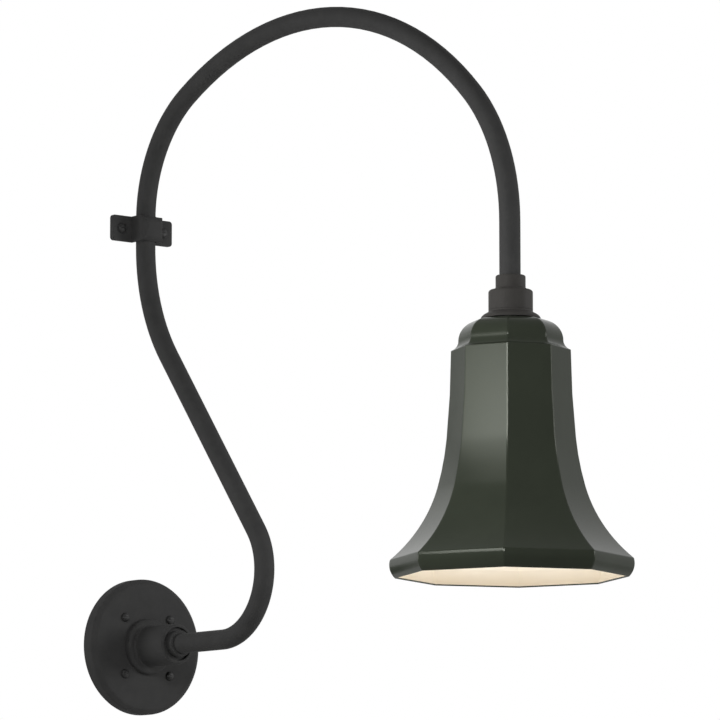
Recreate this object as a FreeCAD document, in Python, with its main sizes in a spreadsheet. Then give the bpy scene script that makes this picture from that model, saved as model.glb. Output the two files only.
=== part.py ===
import FreeCAD, Part
import math
import os
import sys

import Sketcher

# Barn light on a gooseneck arm, in millimetres.
# The wall is the plane Y = 0, the light stands out of it along -Y, and +Z is up.
# The origin is the centre of the wall plate's back, on the wall.
# The arm's tube leaves the plate's hub, bends up and back to the wall, where a strap holds
# it, then arches over and comes down vertically to the lampholder and its eight-sided bell.

# Driving sizes: name, value, what it is.
SIZES = [
    ("plate_diameter", 146, "wall plate, across"),
    ("plate_depth", 17.7, "wall to the plate's front face"),
    ("plate_bevel_width", 5.2, "bevel round the front face, measured across it"),
    ("plate_bevel_height", 4.2, "the same bevel, measured away from the wall"),
    ("plate_skin", 3.2, "wall thickness of the cast plate"),
    ("gasket_thickness", 1.5, "rubber ring between plate and wall"),
    ("gasket_inset", 0.8, "how far the ring hides inside the plate's rim"),
    ("gasket_width", 9, "ring, from outside to inside"),
    ("ring_clearance", 4.2, "gap between the mounting ring and the rubber ring around it"),
    ("ring_thickness", 3, "mounting ring sheet"),
    ("ring_opening", 44, "wire opening in the mounting ring"),
    ("box_screw_spacing", 88.9, "wide pair of box screw holes, 3 1/2 inch"),
    ("box_screw_spacing_narrow", 69.9, "narrow pair of box screw holes, 2 3/4 inch"),
    ("box_screw_hole", 5.2, "box screw hole, across"),
    ("pillar_diameter", 9.5, "threaded pillars on the mounting ring"),
    ("plate_screw_circle", 85.7, "circle of the four plate screws, 3 3/8 inch"),
    ("plate_screw_thread", 4.2, "plate screw thread, across"),
    ("plate_screw_head", 10, "plate screw head, across"),
    ("plate_screw_dome", 3.4, "plate screw head, height"),
    ("plate_screw_length", 12, "plate screw under the head"),
    ("slot_width", 1.3, "screwdriver slot, across"),
    ("slot_depth", 1.5, "screwdriver slot, deep"),
    ("thread_fit", 0.05, "gap around every thread"),
    ("hole_fit", 0.3, "gap around a screw or thread in a plain hole"),
    ("hub_foot_diameter", 60, "round foot of the hub"),
    ("hub_foot_height", 7.3, "foot, away from the plate"),
    ("hub_foot_round", 4.5, "rounded edge of the foot"),
    ("hub_body_diameter", 43.6, "hub body, across"),
    ("hub_body_length", 46.5, "hub body beyond the foot"),
    ("hub_shoulder_round", 3.4, "rounded shoulder of the hub"),
    ("neck_diameter", 30, "neck of the socket cap, across"),
    ("hub_neck_diameter", 28, "neck of the hub, across"),
    ("hub_neck_length", 6.5, "hub neck beyond the shoulder"),
    ("hub_groove_diameter", 35.6, "groove round the hub's neck, across"),
    ("hub_groove_depth", 4.5, "that groove, from the shoulder down"),
    ("neck_round", 1.8, "rounded mouth of each neck"),
    ("root_round", 2.3, "hollow at the root of the hub's body"),
    ("hub_spigot_diameter", 26, "threaded spigot of the hub, through the plate"),
    ("hub_spigot_bore", 16, "wire way in the spigot"),
    ("hub_nut_flats", 34, "jam nut, across its flats"),
    ("hub_nut_thickness", 4, "jam nut"),
    ("tube_engagement", 43, "arm inside the hub"),
    ("tube_diameter", 21.3, "arm tube, half-inch pipe size"),
    ("tube_wall", 2.3, "arm tube wall"),
    ("tube_fit", 0.06, "gap between the tube and the sockets it screws into"),
    ("lower_bend", 70, "radius of the bend above the hub, on the centre line"),
    ("lean_angle", 37.2, "how far the straight stretch leans back to the wall"),
    ("middle_bend", 206, "radius of the bend below the strap"),
    ("clamp_height", 452.5, "middle of the tube's stretch along the wall, above the plate's centre"),
    ("clamp_run", 30, "straight stretch of tube under the strap"),
    ("tube_wall_gap", 0.6, "gap between the tube and the wall at the strap"),
    ("shoulder_bend", 145, "first radius of the arch"),
    ("shoulder_angle", 59.7, "turn of that bend"),
    ("crown_angle", 75.9, "turn of the crown, whose radius follows from the reach"),
    ("front_bend", 198.5, "last radius of the arch"),
    ("arm_reach", 610, "wall to the axis of the shade"),
    ("arm_leg", 75.65, "straight stretch at the arm's end, below the arch"),
    ("strap_half_length", 40.8, "strap, from the middle to the end of an ear"),
    ("strap_width", 28, "strap, along the tube"),
    ("strap_raise", 3, "strap's middle above the middle of that stretch"),
    ("strap_thickness", 4.2, "strap stock"),
    ("strap_corner", 3.6, "corners of the ears"),
    ("strap_crown_round", 9, "rounded corners of the hump"),
    ("strap_bevel", 4.4, "bevel round both ends of the hump"),
    ("strap_bore_gap", 0.3, "gap between strap and tube"),
    ("strap_screw_spacing", 56, "the strap's two screws, centre to centre"),
    ("strap_screw_thread", 5, "strap screw shank, across"),
    ("strap_screw_shank", 5.6, "smooth part of the strap screw's shank, across"),
    ("strap_screw_shank_reach", 2.5, "that smooth part behind the wall plane"),
    ("strap_screw_head", 11.4, "strap screw head, across"),
    ("strap_screw_dome", 3.2, "strap screw head, height"),
    ("strap_screw_reach", 12, "strap screw behind the wall plane"),
    ("cap_diameter", 44.4, "socket cap body, across"),
    ("cap_wall", 2.8, "socket cap wall"),
    ("cap_drop", 14.7, "cap's lower edge below the end of the arm"),
    ("cap_body_height", 20.5, "cap body, lower edge to shoulder"),
    ("cap_shoulder_round", 2.8, "rounded shoulder of the cap"),
    ("cap_height", 35.2, "cap, lower edge to the mouth of its neck"),
    ("cap_root_round", 3.2, "hollow at the root of the cap's neck"),
    ("cap_ceiling", 4.5, "cap's inner ceiling, from the shoulder down"),
    ("collar_band", 1.7, "straight band at the top of the flared collar"),
    ("collar_flare_height", 5.8, "flare, below the band"),
    ("collar_flare_diameter", 60.4, "flare at its rim"),
    ("collar_rim_drop", 1.2, "flare's rim below the foot of the collar's boss"),
    ("collar_skin", 2.2, "wall of the flare"),
    ("collar_web", 2.6, "flat web of the collar"),
    ("collar_boss_diameter", 34, "boss of the collar on the shade gasket"),
    ("collar_spigot_height", 5.5, "collar's spigot inside the cap"),
    ("collar_spigot_wall", 2.4, "wall of that spigot"),
    ("bushing_length", 18, "bushing in the arm's end"),
    ("nipple_diameter", 12.7, "threaded nipple, across"),
    ("nipple_bore", 9.5, "wire way in the nipple"),
    ("nipple_top_inset", 2, "nipple's end below the bushing's"),
    ("shade_gasket_thickness", 2, "rubber washer between collar and shade"),
    ("shade_washer_diameter", 32, "steel washer inside the shade"),
    ("shade_washer_thickness", 1.5, "the same washer"),
    ("shade_nut_flats", 22, "lock nut under the shade, across its flats"),
    ("shade_nut_thickness", 5, "lock nut"),
    ("shade_wall", 2, "shade wall"),
    ("shade_flat", 27.6, "flat top of the shade, axis to dome, square to a facet"),
    ("dome_radius", 21, "dome of the shade"),
    ("cove_radius", 10, "hollow above the step"),
    ("cove_angle", 71.3, "turn of that hollow"),
    ("bell_lead_angle", 0.3, "how far the bell already opens below the step"),
    ("bell_upper_radius", 1028, "bell, first arc"),
    ("bell_upper_angle", 4.95, "its turn"),
    ("bell_middle_radius", 298, "bell, second arc"),
    ("bell_middle_angle", 9.3, "its turn"),
    ("bell_lower_radius", 145, "bell, last arc down to the crease"),
    ("bell_lower_angle", 33.7, "its turn"),
    ("rim_radius", 19.5, "rolled band below the crease"),
    ("rim_upper_angle", 15.4, "turn of the band above its widest place"),
    ("rim_lower_angle", 43.3, "turn of the band below it"),
    ("holder_drop", 4, "lampholder's top below the lock nut"),
    ("holder_diameter", 40, "porcelain lampholder, across"),
    ("holder_top_height", 16, "upper porcelain half"),
    ("holder_chamber_height", 10, "wiring chamber in it"),
    ("holder_chamber_diameter", 29, "wiring chamber, across"),
    ("holder_body_height", 44, "lower porcelain half"),
    ("holder_web", 8, "floor of the wiring chamber"),
    ("holder_edge_round", 2, "rounded edges of the porcelain"),
    ("holder_screw_offset", 17, "long screws, from the axis"),
    ("holder_screw_thread", 2.6, "long screw, across"),
    ("holder_screw_head", 4.8, "long screw head, across"),
    ("holder_screw_dome", 1.8, "long screw head, height"),
    ("holder_screw_grip", 20, "long screw inside the lower half"),
    ("shell_bore", 26.4, "screw shell for an E26 lamp, inside"),
    ("shell_wall", 0.5, "screw shell sheet"),
    ("shell_inset", 2, "shell's mouth inside the porcelain's"),
    ("shell_length", 22, "screw shell, mouth to the back of its floor"),
    ("shell_floor_hole", 14, "opening in the shell's floor and the porcelain beyond it"),
    ("shell_gap", 0.2, "gap between the shell and the porcelain"),
    ("contact_diameter", 8, "centre contact, across"),
    ("contact_thickness", 2, "centre contact"),
    ("contact_drop", 9.5, "contact's top below the porcelain web"),
    ("contact_travel", 2.5, "how far a lamp pushes the contact up"),
    ("stem_diameter", 3, "stem of the contact"),
    ("stem_fit", 0.1, "running gap around the stem"),
    ("stem_rise", 2, "stem above the web"),
    ("clip_diameter", 6, "retaining clip on the stem"),
    ("clip_thickness", 0.8, "retaining clip"),
    ("clip_gap", 0.1, "gap between the clip and the web"),
    ("spring_diameter", 6.6, "contact spring, outside"),
    ("spring_wire", 0.7, "contact spring wire"),
    ("spring_turns", 5, "contact spring turns"),
    ("spring_pocket", 3, "pocket for the spring in the web"),
    ("spring_gap", 0.4, "gap around the spring"),
    ("terminal_length", 8.5, "brass terminal plate"),
    ("terminal_width", 6, "brass terminal plate"),
    ("terminal_thickness", 0.8, "brass terminal plate"),
    ("terminal_offset", 9.2, "terminal's middle from the axis"),
    ("terminal_screw_thread", 2.4, "terminal screw, across"),
    ("terminal_screw_head", 4.6, "terminal screw head, across"),
    ("terminal_screw_dome", 1.6, "terminal screw head, height"),
    ("terminal_screw_grip", 5, "terminal screw inside the web"),
    ("lead_diameter", 2.2, "insulated lead"),
    ("lead_offset", 2, "each lead's distance from the arm's centre line"),
    ("lead_bend", 5, "tightest bend of a lead"),
    ("lead_fan_angle", 50, "how far a lead turns out to its terminal"),
    ("lead_wall_distance", 8.4, "leads and connectors from the wall, behind the plate"),
    ("connector_distance", 22, "connector's mouth from the plate's centre"),
    ("connector_length", 18, "wire connector"),
    ("connector_diameter", 9.6, "wire connector, at its mouth"),
    ("connector_tip_diameter", 6, "wire connector, at its tip"),
    ("connector_fit", 0.1, "gap around a lead in its connector"),
    ("connector_grip", 8, "lead inside its connector"),
    ("ground_screw_offset", 31, "ground screw from the plate's centre"),
    ("ground_screw_thread", 4, "ground screw, across"),
    ("ground_screw_head", 8, "ground screw head, across"),
    ("ground_screw_dome", 2.4, "ground screw head, height"),
    ("cut_overrun", 2, "how far every cutting shape runs past what it cuts"),
]

# Shares of a screw head's radius and height that its dome passes through.
HEAD_DOME_SHARES = [(1.0, 0.3), (0.84, 0.74), (0.5, 1.0)]
# Shares of the flare's widening and height that the collar's outside passes through.
FLARE_SHARES = [(0.26, 0.19), (0.62, 0.4), (0.87, 0.67), (1.0, 1.0)]

FACETS = 8
PLATE_SCREWS = 4
HEX_SIDES = 6
FULL_TURN = 360
HALF_TURN = 180
QUARTER_TURN = 90

DOC = FreeCAD.newDocument("barn_light")
SHEET = DOC.addObject("Spreadsheet::Sheet", "Sizes")
for row, (alias, value, note) in enumerate(SIZES, start=1):
    SHEET.set(f"A{row}", alias)
    SHEET.set(f"B{row}", str(value))
    SHEET.setAlias(f"B{row}", alias)
    SHEET.set(f"C{row}", note)
DOC.recompute()
SIZE = {alias: float(SHEET.get(alias)) for alias, value, note in SIZES}

OUTWARD = FreeCAD.Rotation(FreeCAD.Vector(1, 0, 0), QUARTER_TURN)
UPRIGHT = FreeCAD.Rotation()
UPSIDE_DOWN = FreeCAD.Rotation(FreeCAD.Vector(1, 0, 0), HALF_TURN)
NODES = []


# Small helpers

def bind(piece, expressions):
    """Bind properties of a piece to expressions on the sheet."""
    for name, text in expressions.items():
        piece.setExpression(name, text)
    return piece


def place(piece, turn, **offsets):
    """Turn a piece, and bind its place to expressions: x=, y= and z=."""
    piece.Placement = FreeCAD.Placement(FreeCAD.Vector(), turn)
    return bind(piece, {f"Placement.Base.{axis}": text for axis, text in offsets.items()})


def node(piece, label):
    """Name a finished sub-part, whose label is also the name of its file."""
    piece.Label = label
    NODES.append(piece)
    return piece


def cylinder(name, radius, height):
    piece = DOC.addObject("Part::Cylinder", name)
    return bind(piece, {"Radius": radius, "Height": height})


def box(name, length, width, height):
    piece = DOC.addObject("Part::Box", name)
    return bind(piece, {"Length": length, "Width": width, "Height": height})


def cut(name, base, tools):
    for count, tool in enumerate(tools):
        result = DOC.addObject("Part::Cut", f"{name}_cut_{count}")
        result.Base = base
        result.Tool = tool
        base = result
    return base


def fuse(name, pieces):
    result = DOC.addObject("Part::MultiFuse", f"{name}_fuse")
    result.Shapes = pieces
    result.Refine = True
    return result


def group(name, pieces):
    result = DOC.addObject("Part::Compound", f"{name}_group")
    result.Links = pieces
    return result


def hold(sketch, corner, kind, text):
    """Hold one coordinate of a sketch's corner at an expression on the sheet."""
    if text == "0":
        axis = -2 if kind == "DistanceX" else -1
        sketch.addConstraint(Sketcher.Constraint("PointOnObject", corner, 1, axis))
        return
    first = sketch.addConstraint(Sketcher.Constraint(kind, -1, 1, corner, 1, corner + 1))
    sketch.setExpression(f"Constraints[{first}]", text)


def turned(name, outline):
    """A piece turned about its own Z axis, from (radius, height) pairs of expressions."""
    body = DOC.addObject("PartDesign::Body", f"{name}_body")
    sketch = body.newObject("Sketcher::SketchObject", f"{name}_outline")
    plane = [item for item in body.Origin.OriginFeatures if item.Role == "XZ_Plane"][0]
    sketch.AttachmentSupport = [(plane, "")]
    sketch.MapMode = "FlatFace"
    count = len(outline)
    # The corners start anywhere in order, and the constraints bring them to their places.
    corners = []
    for index in range(count):
        turn = math.radians(FULL_TURN * index / count)
        corners.append(FreeCAD.Vector(count + math.cos(turn), count + math.sin(turn), 0))
    for index in range(count):
        sketch.addGeometry(Part.LineSegment(corners[index], corners[(index + 1) % count]), False)
    for index in range(count):
        following = (index + 1) % count
        sketch.addConstraint(Sketcher.Constraint("Coincident", index, 2, following, 1))
    for index, (radius, height) in enumerate(outline):
        hold(sketch, index, "DistanceX", radius)
        hold(sketch, index, "DistanceY", height)
    revolution = body.newObject("PartDesign::Revolution", f"{name}_turning")
    revolution.Profile = sketch
    revolution.ReferenceAxis = (sketch, ["V_Axis"])
    revolution.Angle = FULL_TURN
    body.Tip = revolution
    DOC.recompute()
    return body


def rounded(body, name, rings, radius):
    """Round circular edges of a turned body. rings holds (radius, height) numbers."""
    base = body.Tip
    close = SIZE["thread_fit"]
    names = []
    for index, edge in enumerate(base.Shape.Edges, start=1):
        if not isinstance(edge.Curve, Part.Circle):
            continue
        for ring_radius, height in rings:
            near_radius = abs(edge.Curve.Radius - ring_radius) < close
            if near_radius and abs(edge.Curve.Center.z - height) < close:
                names.append(f"Edge{index}")
    fillet = body.newObject("PartDesign::Fillet", f"{name}_rounding")
    fillet.Base = (base, names)
    fillet.setExpression("Radius", radius)
    body.Tip = fillet
    DOC.recompute()
    return body


def washer(name, outer, inner, thickness):
    """A plain ring: outer and inner are diameters."""
    return turned(name, [
        (f"({inner}) / 2", "0"),
        (f"({outer}) / 2", "0"),
        (f"({outer}) / 2", thickness),
        (f"({inner}) / 2", thickness),
    ])


def hexagon_nut(name, flats, thickness, bore):
    """A hexagon nut standing on its own plane Z = 0."""
    blank = DOC.addObject("Part::Prism", f"{name}_blank")
    blank.Polygon = HEX_SIDES
    bind(blank, {"Circumradius": f"({flats}) / 2 / cos(180 / {HEX_SIDES})", "Height": thickness})
    drill = cylinder(f"{name}_drill", f"({bore}) / 2", f"{thickness} + 2 * Sizes.cut_overrun")
    place(drill, UPRIGHT, z="-Sizes.cut_overrun")
    return cut(name, blank, [drill])


def slotted_screw(name, thread, head, dome, length, shank=None):
    """A round-head slotted screw: its tip is at its own origin and its head points to +Z.

    shank is the diameter of its smooth part and where that begins, for a screw that has one.
    """
    outline = [("0", "0"), (f"{thread} / 2", "0")]
    if shank:
        outline += [(f"{thread} / 2", shank[1]), (f"{shank[0]} / 2", shank[1]),
                    (f"{shank[0]} / 2", length)]
    else:
        outline.append((f"{thread} / 2", length))
    outline.append((f"{head} / 2", length))
    for radius_share, height_share in HEAD_DOME_SHARES:
        outline.append((f"{head} / 2 * {radius_share}", f"{length} + {dome} * {height_share}"))
    outline.append(("0", f"{length} + {dome}"))
    blank = turned(name, outline)
    span = f"({head} + 2 * Sizes.cut_overrun)"
    slot = box(f"{name}_slot", span, "Sizes.slot_width", "Sizes.slot_depth + Sizes.cut_overrun")
    place(slot, UPRIGHT, x=f"-{span} / 2", y="-Sizes.slot_width / 2",
          z=f"{length} + {dome} - Sizes.slot_depth")
    return cut(name, blank, [slot])


# Planar path of straight runs and tangent arcs

def walk(start, heading, steps):
    """Edges of a flat path. start is (out, up) and heading is in degrees, 0 pointing out.

    A step is ("run", length), ("bend", radius, angle) or ("turn", angle). A positive angle
    turns from out towards up. Returns the edges, the end and the last heading.
    """
    out, up = start
    edges = []
    for step in steps:
        if step[0] == "turn":
            heading += step[1]
        elif step[0] == "run":
            course = math.radians(heading)
            end = (out + step[1] * math.cos(course), up + step[1] * math.sin(course))
            edges.append(Part.LineSegment(flat(out, up), flat(*end)).toShape())
            out, up = end
        else:
            radius, angle = step[1], step[2]
            side = math.copysign(1, angle)
            first = math.radians(heading - side * QUARTER_TURN)
            centre = (out - radius * math.cos(first), up - radius * math.sin(first))
            points = []
            for share in (0.5, 1):
                sweep = first + math.radians(angle) * share
                points.append((centre[0] + radius * math.cos(sweep),
                               centre[1] + radius * math.sin(sweep)))
            arc = Part.Arc(flat(out, up), flat(*points[0]), flat(*points[1]))
            edges.append(arc.toShape())
            out, up = points[1]
            heading += angle
    return edges, (out, up), heading


def flat(out, up):
    """A point of the plane in which the arm lies."""
    return FreeCAD.Vector(0, -out, up)


def arm_numbers():
    """The sizes of the arm that follow from others."""
    lean = math.radians(SIZE["lean_angle"])
    standoff = SIZE["tube_wall_gap"] + SIZE["tube_diameter"] / 2
    below = SIZE["clamp_height"] - SIZE["clamp_run"] / 2
    bend_foot = (standoff + SIZE["middle_bend"] * (1 - math.cos(lean)),
                 below - SIZE["middle_bend"] * math.sin(lean))
    lower_top = SIZE["lower_bend"] * (1 + math.sin(lean))
    straight = (bend_foot[1] - lower_top) / math.cos(lean)
    lower_centre = (bend_foot[0] + straight * math.sin(lean)
                    - SIZE["lower_bend"] * math.cos(lean))
    shoulder = math.cos(math.radians(SIZE["shoulder_angle"]))
    crown = math.cos(math.radians(SIZE["shoulder_angle"] + SIZE["crown_angle"]))
    width = SIZE["arm_reach"] - standoff
    crown_bend = ((width - SIZE["shoulder_bend"] * (1 - shoulder)
                   - SIZE["front_bend"] * (1 + crown)) / (shoulder - crown))
    front_angle = HALF_TURN - SIZE["shoulder_angle"] - SIZE["crown_angle"]
    return lower_centre, straight, crown_bend, front_angle


def arm_steps(start, extra_end):
    """Steps along the arm from a place on the hub's axis to extra_end past the arm's end."""
    lower_centre, straight, crown_bend, front_angle = arm_numbers()
    bends = [
        ("run", lower_centre - start),
        ("bend", SIZE["lower_bend"], QUARTER_TURN + SIZE["lean_angle"]),
        ("run", straight),
        ("bend", SIZE["middle_bend"], -SIZE["lean_angle"]),
        ("run", SIZE["clamp_run"]),
        ("bend", SIZE["shoulder_bend"], -SIZE["shoulder_angle"]),
        ("bend", crown_bend, -SIZE["crown_angle"]),
        ("bend", SIZE["front_bend"], -front_angle),
    ]
    bends.append(("run", SIZE["arm_leg"] + extra_end))
    return bends


def arm_end():
    """Height of the arm's lower end above the plate's centre."""
    start = SIZE["lead_wall_distance"]
    return walk((start, 0), 0, arm_steps(start, 0))[1][1]


def swept(name, spine, edge_count, radius, start, turn):
    """A round bar along a spine. start and turn place the circle at the spine's beginning."""
    ring = DOC.addObject("Part::Circle", f"{name}_ring")
    ring.Placement = FreeCAD.Placement(start, turn)
    ring.setExpression("Radius", radius)
    sweep = DOC.addObject("Part::Sweep", f"{name}_sweep")
    sweep.Sections = [ring]
    sweep.Spine = (spine, [f"Edge{index}" for index in range(1, edge_count + 1)])
    sweep.Solid = True
    sweep.Frenet = False
    return sweep


# Wall plate and what is behind it

def make_plate_gasket():
    outer = "Sizes.plate_diameter - 2 * Sizes.gasket_inset"
    inner = f"{outer} - 2 * Sizes.gasket_width"
    node(place(washer("plate_gasket", outer, inner, "Sizes.gasket_thickness"), OUTWARD),
         "plate_gasket")


def round_the_plate(name, count, circle, make):
    """Copies of a piece round the plate's axis, the first at half a step from +X."""
    copies = []
    for index in range(count):
        angle = FULL_TURN * (index + 0.5) / count
        piece = make(f"{name}_{index + 1}")
        copies.append((piece, f"{circle} / 2 * cos({angle})", f"{circle} / 2 * sin({angle})"))
    return copies


def make_mounting_ring():
    outer = ("Sizes.plate_diameter - 2 * Sizes.gasket_inset - 2 * Sizes.gasket_width"
             " - 2 * Sizes.ring_clearance")
    sheet = washer("mounting_ring", outer, "Sizes.ring_opening", "Sizes.ring_thickness")
    pillars = []
    threads = []
    reach = "(Sizes.plate_depth - Sizes.plate_skin)"

    def pillar(name):
        return cylinder(name, "Sizes.pillar_diameter / 2", reach)

    def thread(name):
        return cylinder(name, "Sizes.plate_screw_thread / 2 + Sizes.thread_fit",
                        f"{reach} + 2 * Sizes.cut_overrun")

    for piece, across, up in round_the_plate("pillar", PLATE_SCREWS, "Sizes.plate_screw_circle",
                                             pillar):
        pillars.append(place(piece, UPRIGHT, x=across, y=up))
    for piece, across, up in round_the_plate("pillar_thread", PLATE_SCREWS,
                                             "Sizes.plate_screw_circle", thread):
        threads.append(place(piece, UPRIGHT, x=across, y=up, z="-Sizes.cut_overrun"))
    holes = []
    depth = "Sizes.ring_thickness + 2 * Sizes.cut_overrun"
    for side in (-1, 1):
        wide = cylinder("box_hole_wide", "Sizes.box_screw_hole / 2", depth)
        holes.append(place(wide, UPRIGHT, x=f"{side} * Sizes.box_screw_spacing / 2",
                           z="-Sizes.cut_overrun"))
        narrow = cylinder("box_hole_narrow", "Sizes.box_screw_hole / 2", depth)
        holes.append(place(narrow, UPRIGHT, x=f"{side} * Sizes.box_screw_spacing_narrow / 2",
                           z="-Sizes.cut_overrun"))
    ground = cylinder("ground_thread", "Sizes.ground_screw_thread / 2 + Sizes.thread_fit", depth)
    turn = "cos(22.5)"
    holes.append(place(ground, UPRIGHT, x=f"-Sizes.ground_screw_offset * {turn}",
                       y="Sizes.ground_screw_offset * sin(22.5)", z="-Sizes.cut_overrun"))
    ring = cut("mounting_ring", fuse("mounting_ring", [sheet] + pillars), threads + holes)
    node(place(ring, OUTWARD), "mounting_ring")


def make_ground_screw():
    screw = slotted_screw("ground_screw", "Sizes.ground_screw_thread", "Sizes.ground_screw_head",
                          "Sizes.ground_screw_dome", "Sizes.ring_thickness")
    node(place(screw, OUTWARD, x="-Sizes.ground_screw_offset * cos(22.5)",
               z="Sizes.ground_screw_offset * sin(22.5)"), "ground_screw")


def make_wall_plate():
    rim = "Sizes.plate_diameter / 2"
    face = f"{rim} - Sizes.plate_bevel_width"
    ceiling = "Sizes.plate_depth - Sizes.plate_skin"
    bore = "Sizes.hub_spigot_diameter / 2 + Sizes.hole_fit"
    plate = turned("wall_plate", [
        (rim, "Sizes.gasket_thickness"),
        (rim, "Sizes.plate_depth - Sizes.plate_bevel_height"),
        (face, "Sizes.plate_depth"),
        (bore, "Sizes.plate_depth"),
        (bore, ceiling),
        (f"{face} - Sizes.plate_skin", ceiling),
        (f"{rim} - Sizes.plate_skin", f"{ceiling} - Sizes.plate_bevel_height"),
        (f"{rim} - Sizes.plate_skin", "Sizes.gasket_thickness"),
    ])

    def hole(name):
        return cylinder(name, "Sizes.plate_screw_thread / 2 + Sizes.hole_fit",
                        "Sizes.plate_skin + 2 * Sizes.cut_overrun")

    holes = []
    for piece, across, up in round_the_plate("plate_hole", PLATE_SCREWS,
                                             "Sizes.plate_screw_circle", hole):
        holes.append(place(piece, UPRIGHT, x=across, y=up, z=f"{ceiling} - Sizes.cut_overrun"))
    node(place(cut("wall_plate", plate, holes), OUTWARD), "wall_plate")


def make_plate_screws():
    def screw(name):
        return slotted_screw(name, "Sizes.plate_screw_thread", "Sizes.plate_screw_head",
                             "Sizes.plate_screw_dome", "Sizes.plate_screw_length")

    screws = []
    for piece, across, up in round_the_plate("plate_screw", PLATE_SCREWS,
                                             "Sizes.plate_screw_circle", screw):
        screws.append(place(piece, OUTWARD, x=across, z=up,
                            y="Sizes.plate_screw_length - Sizes.plate_depth"))
    node(group("plate_screws", screws), "plate_screws")


# Hub

def make_arm_hub():
    start = "Sizes.plate_depth - Sizes.plate_skin - Sizes.hub_nut_thickness"
    foot_top = "Sizes.plate_depth + Sizes.hub_foot_height"
    shoulder = f"{foot_top} + Sizes.hub_body_length"
    mouth = f"{shoulder} + Sizes.hub_neck_length"
    groove = f"{shoulder} - Sizes.hub_groove_depth"
    seat = f"{mouth} - Sizes.tube_engagement"
    socket = "Sizes.tube_diameter / 2 + Sizes.tube_fit"
    hub = turned("arm_hub", [
        ("Sizes.hub_spigot_bore / 2", start),
        ("Sizes.hub_spigot_diameter / 2", start),
        ("Sizes.hub_spigot_diameter / 2", "Sizes.plate_depth"),
        ("Sizes.hub_foot_diameter / 2", "Sizes.plate_depth"),
        ("Sizes.hub_foot_diameter / 2", foot_top),
        ("Sizes.hub_body_diameter / 2", foot_top),
        ("Sizes.hub_body_diameter / 2", shoulder),
        ("Sizes.hub_groove_diameter / 2", shoulder),
        ("Sizes.hub_groove_diameter / 2", groove),
        ("Sizes.hub_neck_diameter / 2", groove),
        ("Sizes.hub_neck_diameter / 2", mouth),
        (socket, mouth),
        (socket, seat),
        ("Sizes.hub_spigot_bore / 2", seat),
    ])
    foot_edge = SIZE["plate_depth"] + SIZE["hub_foot_height"]
    shoulder_edge = foot_edge + SIZE["hub_body_length"]
    mouth_edge = shoulder_edge + SIZE["hub_neck_length"]
    rounded(hub, "foot", [(SIZE["hub_foot_diameter"] / 2, foot_edge)], "Sizes.hub_foot_round")
    rounded(hub, "shoulder", [(SIZE["hub_body_diameter"] / 2, shoulder_edge)],
            "Sizes.hub_shoulder_round")
    rounded(hub, "mouth", [(SIZE["hub_neck_diameter"] / 2, mouth_edge)], "Sizes.neck_round")
    rounded(hub, "root", [(SIZE["hub_body_diameter"] / 2, foot_edge)], "Sizes.root_round")
    node(place(hub, OUTWARD), "arm_hub")


def make_hub_locknut():
    nut = hexagon_nut("hub_locknut", "Sizes.hub_nut_flats", "Sizes.hub_nut_thickness",
                      "Sizes.hub_spigot_diameter + 2 * Sizes.thread_fit")
    node(place(nut, OUTWARD,
               y="Sizes.plate_skin + Sizes.hub_nut_thickness - Sizes.plate_depth"),
         "hub_locknut")


# Arm

def hub_mouth():
    return (SIZE["plate_depth"] + SIZE["hub_foot_height"] + SIZE["hub_body_length"]
            + SIZE["hub_neck_length"])


def make_gooseneck_arm():
    start = hub_mouth() - SIZE["tube_engagement"]
    edges, end, heading = walk((start, 0), 0, arm_steps(start, 0))
    spine = DOC.addObject("Part::Feature", "arm_centre_line")
    spine.Shape = Part.Wire(edges)
    seat = flat(start, 0)
    outside = swept("arm_outside", spine, len(edges), "Sizes.tube_diameter / 2", seat, OUTWARD)
    bore = swept("arm_bore", spine, len(edges), "Sizes.tube_diameter / 2 - Sizes.tube_wall",
                 seat, OUTWARD)
    arm = node(cut("gooseneck_arm", outside, [bore]), "gooseneck_arm")
    DOC.recompute()
    tube_inside = SIZE["tube_diameter"] / 2 - SIZE["tube_wall"]
    section = math.pi * (SIZE["tube_diameter"] ** 2 / 4 - tube_inside ** 2)
    length = spine.Shape.Length
    print(f"arm: length {length:.0f}, volume over section times length "
          f"{arm.Shape.Volume / (section * length):.4f}")
    print("arm: straight stretch, crown radius, last turn:",
          [round(number, 1) for number in arm_numbers()[1:]])


# Strap

def strap_edges(piece, want):
    """Numbers of a shape's edges that lie where want, a test of an edge's middle, says."""
    found = []
    for index, edge in enumerate(piece.Shape.Edges, start=1):
        middle = edge.valueAt((edge.FirstParameter + edge.LastParameter) / 2)
        if want(edge, middle):
            found.append(index)
    return found


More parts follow.
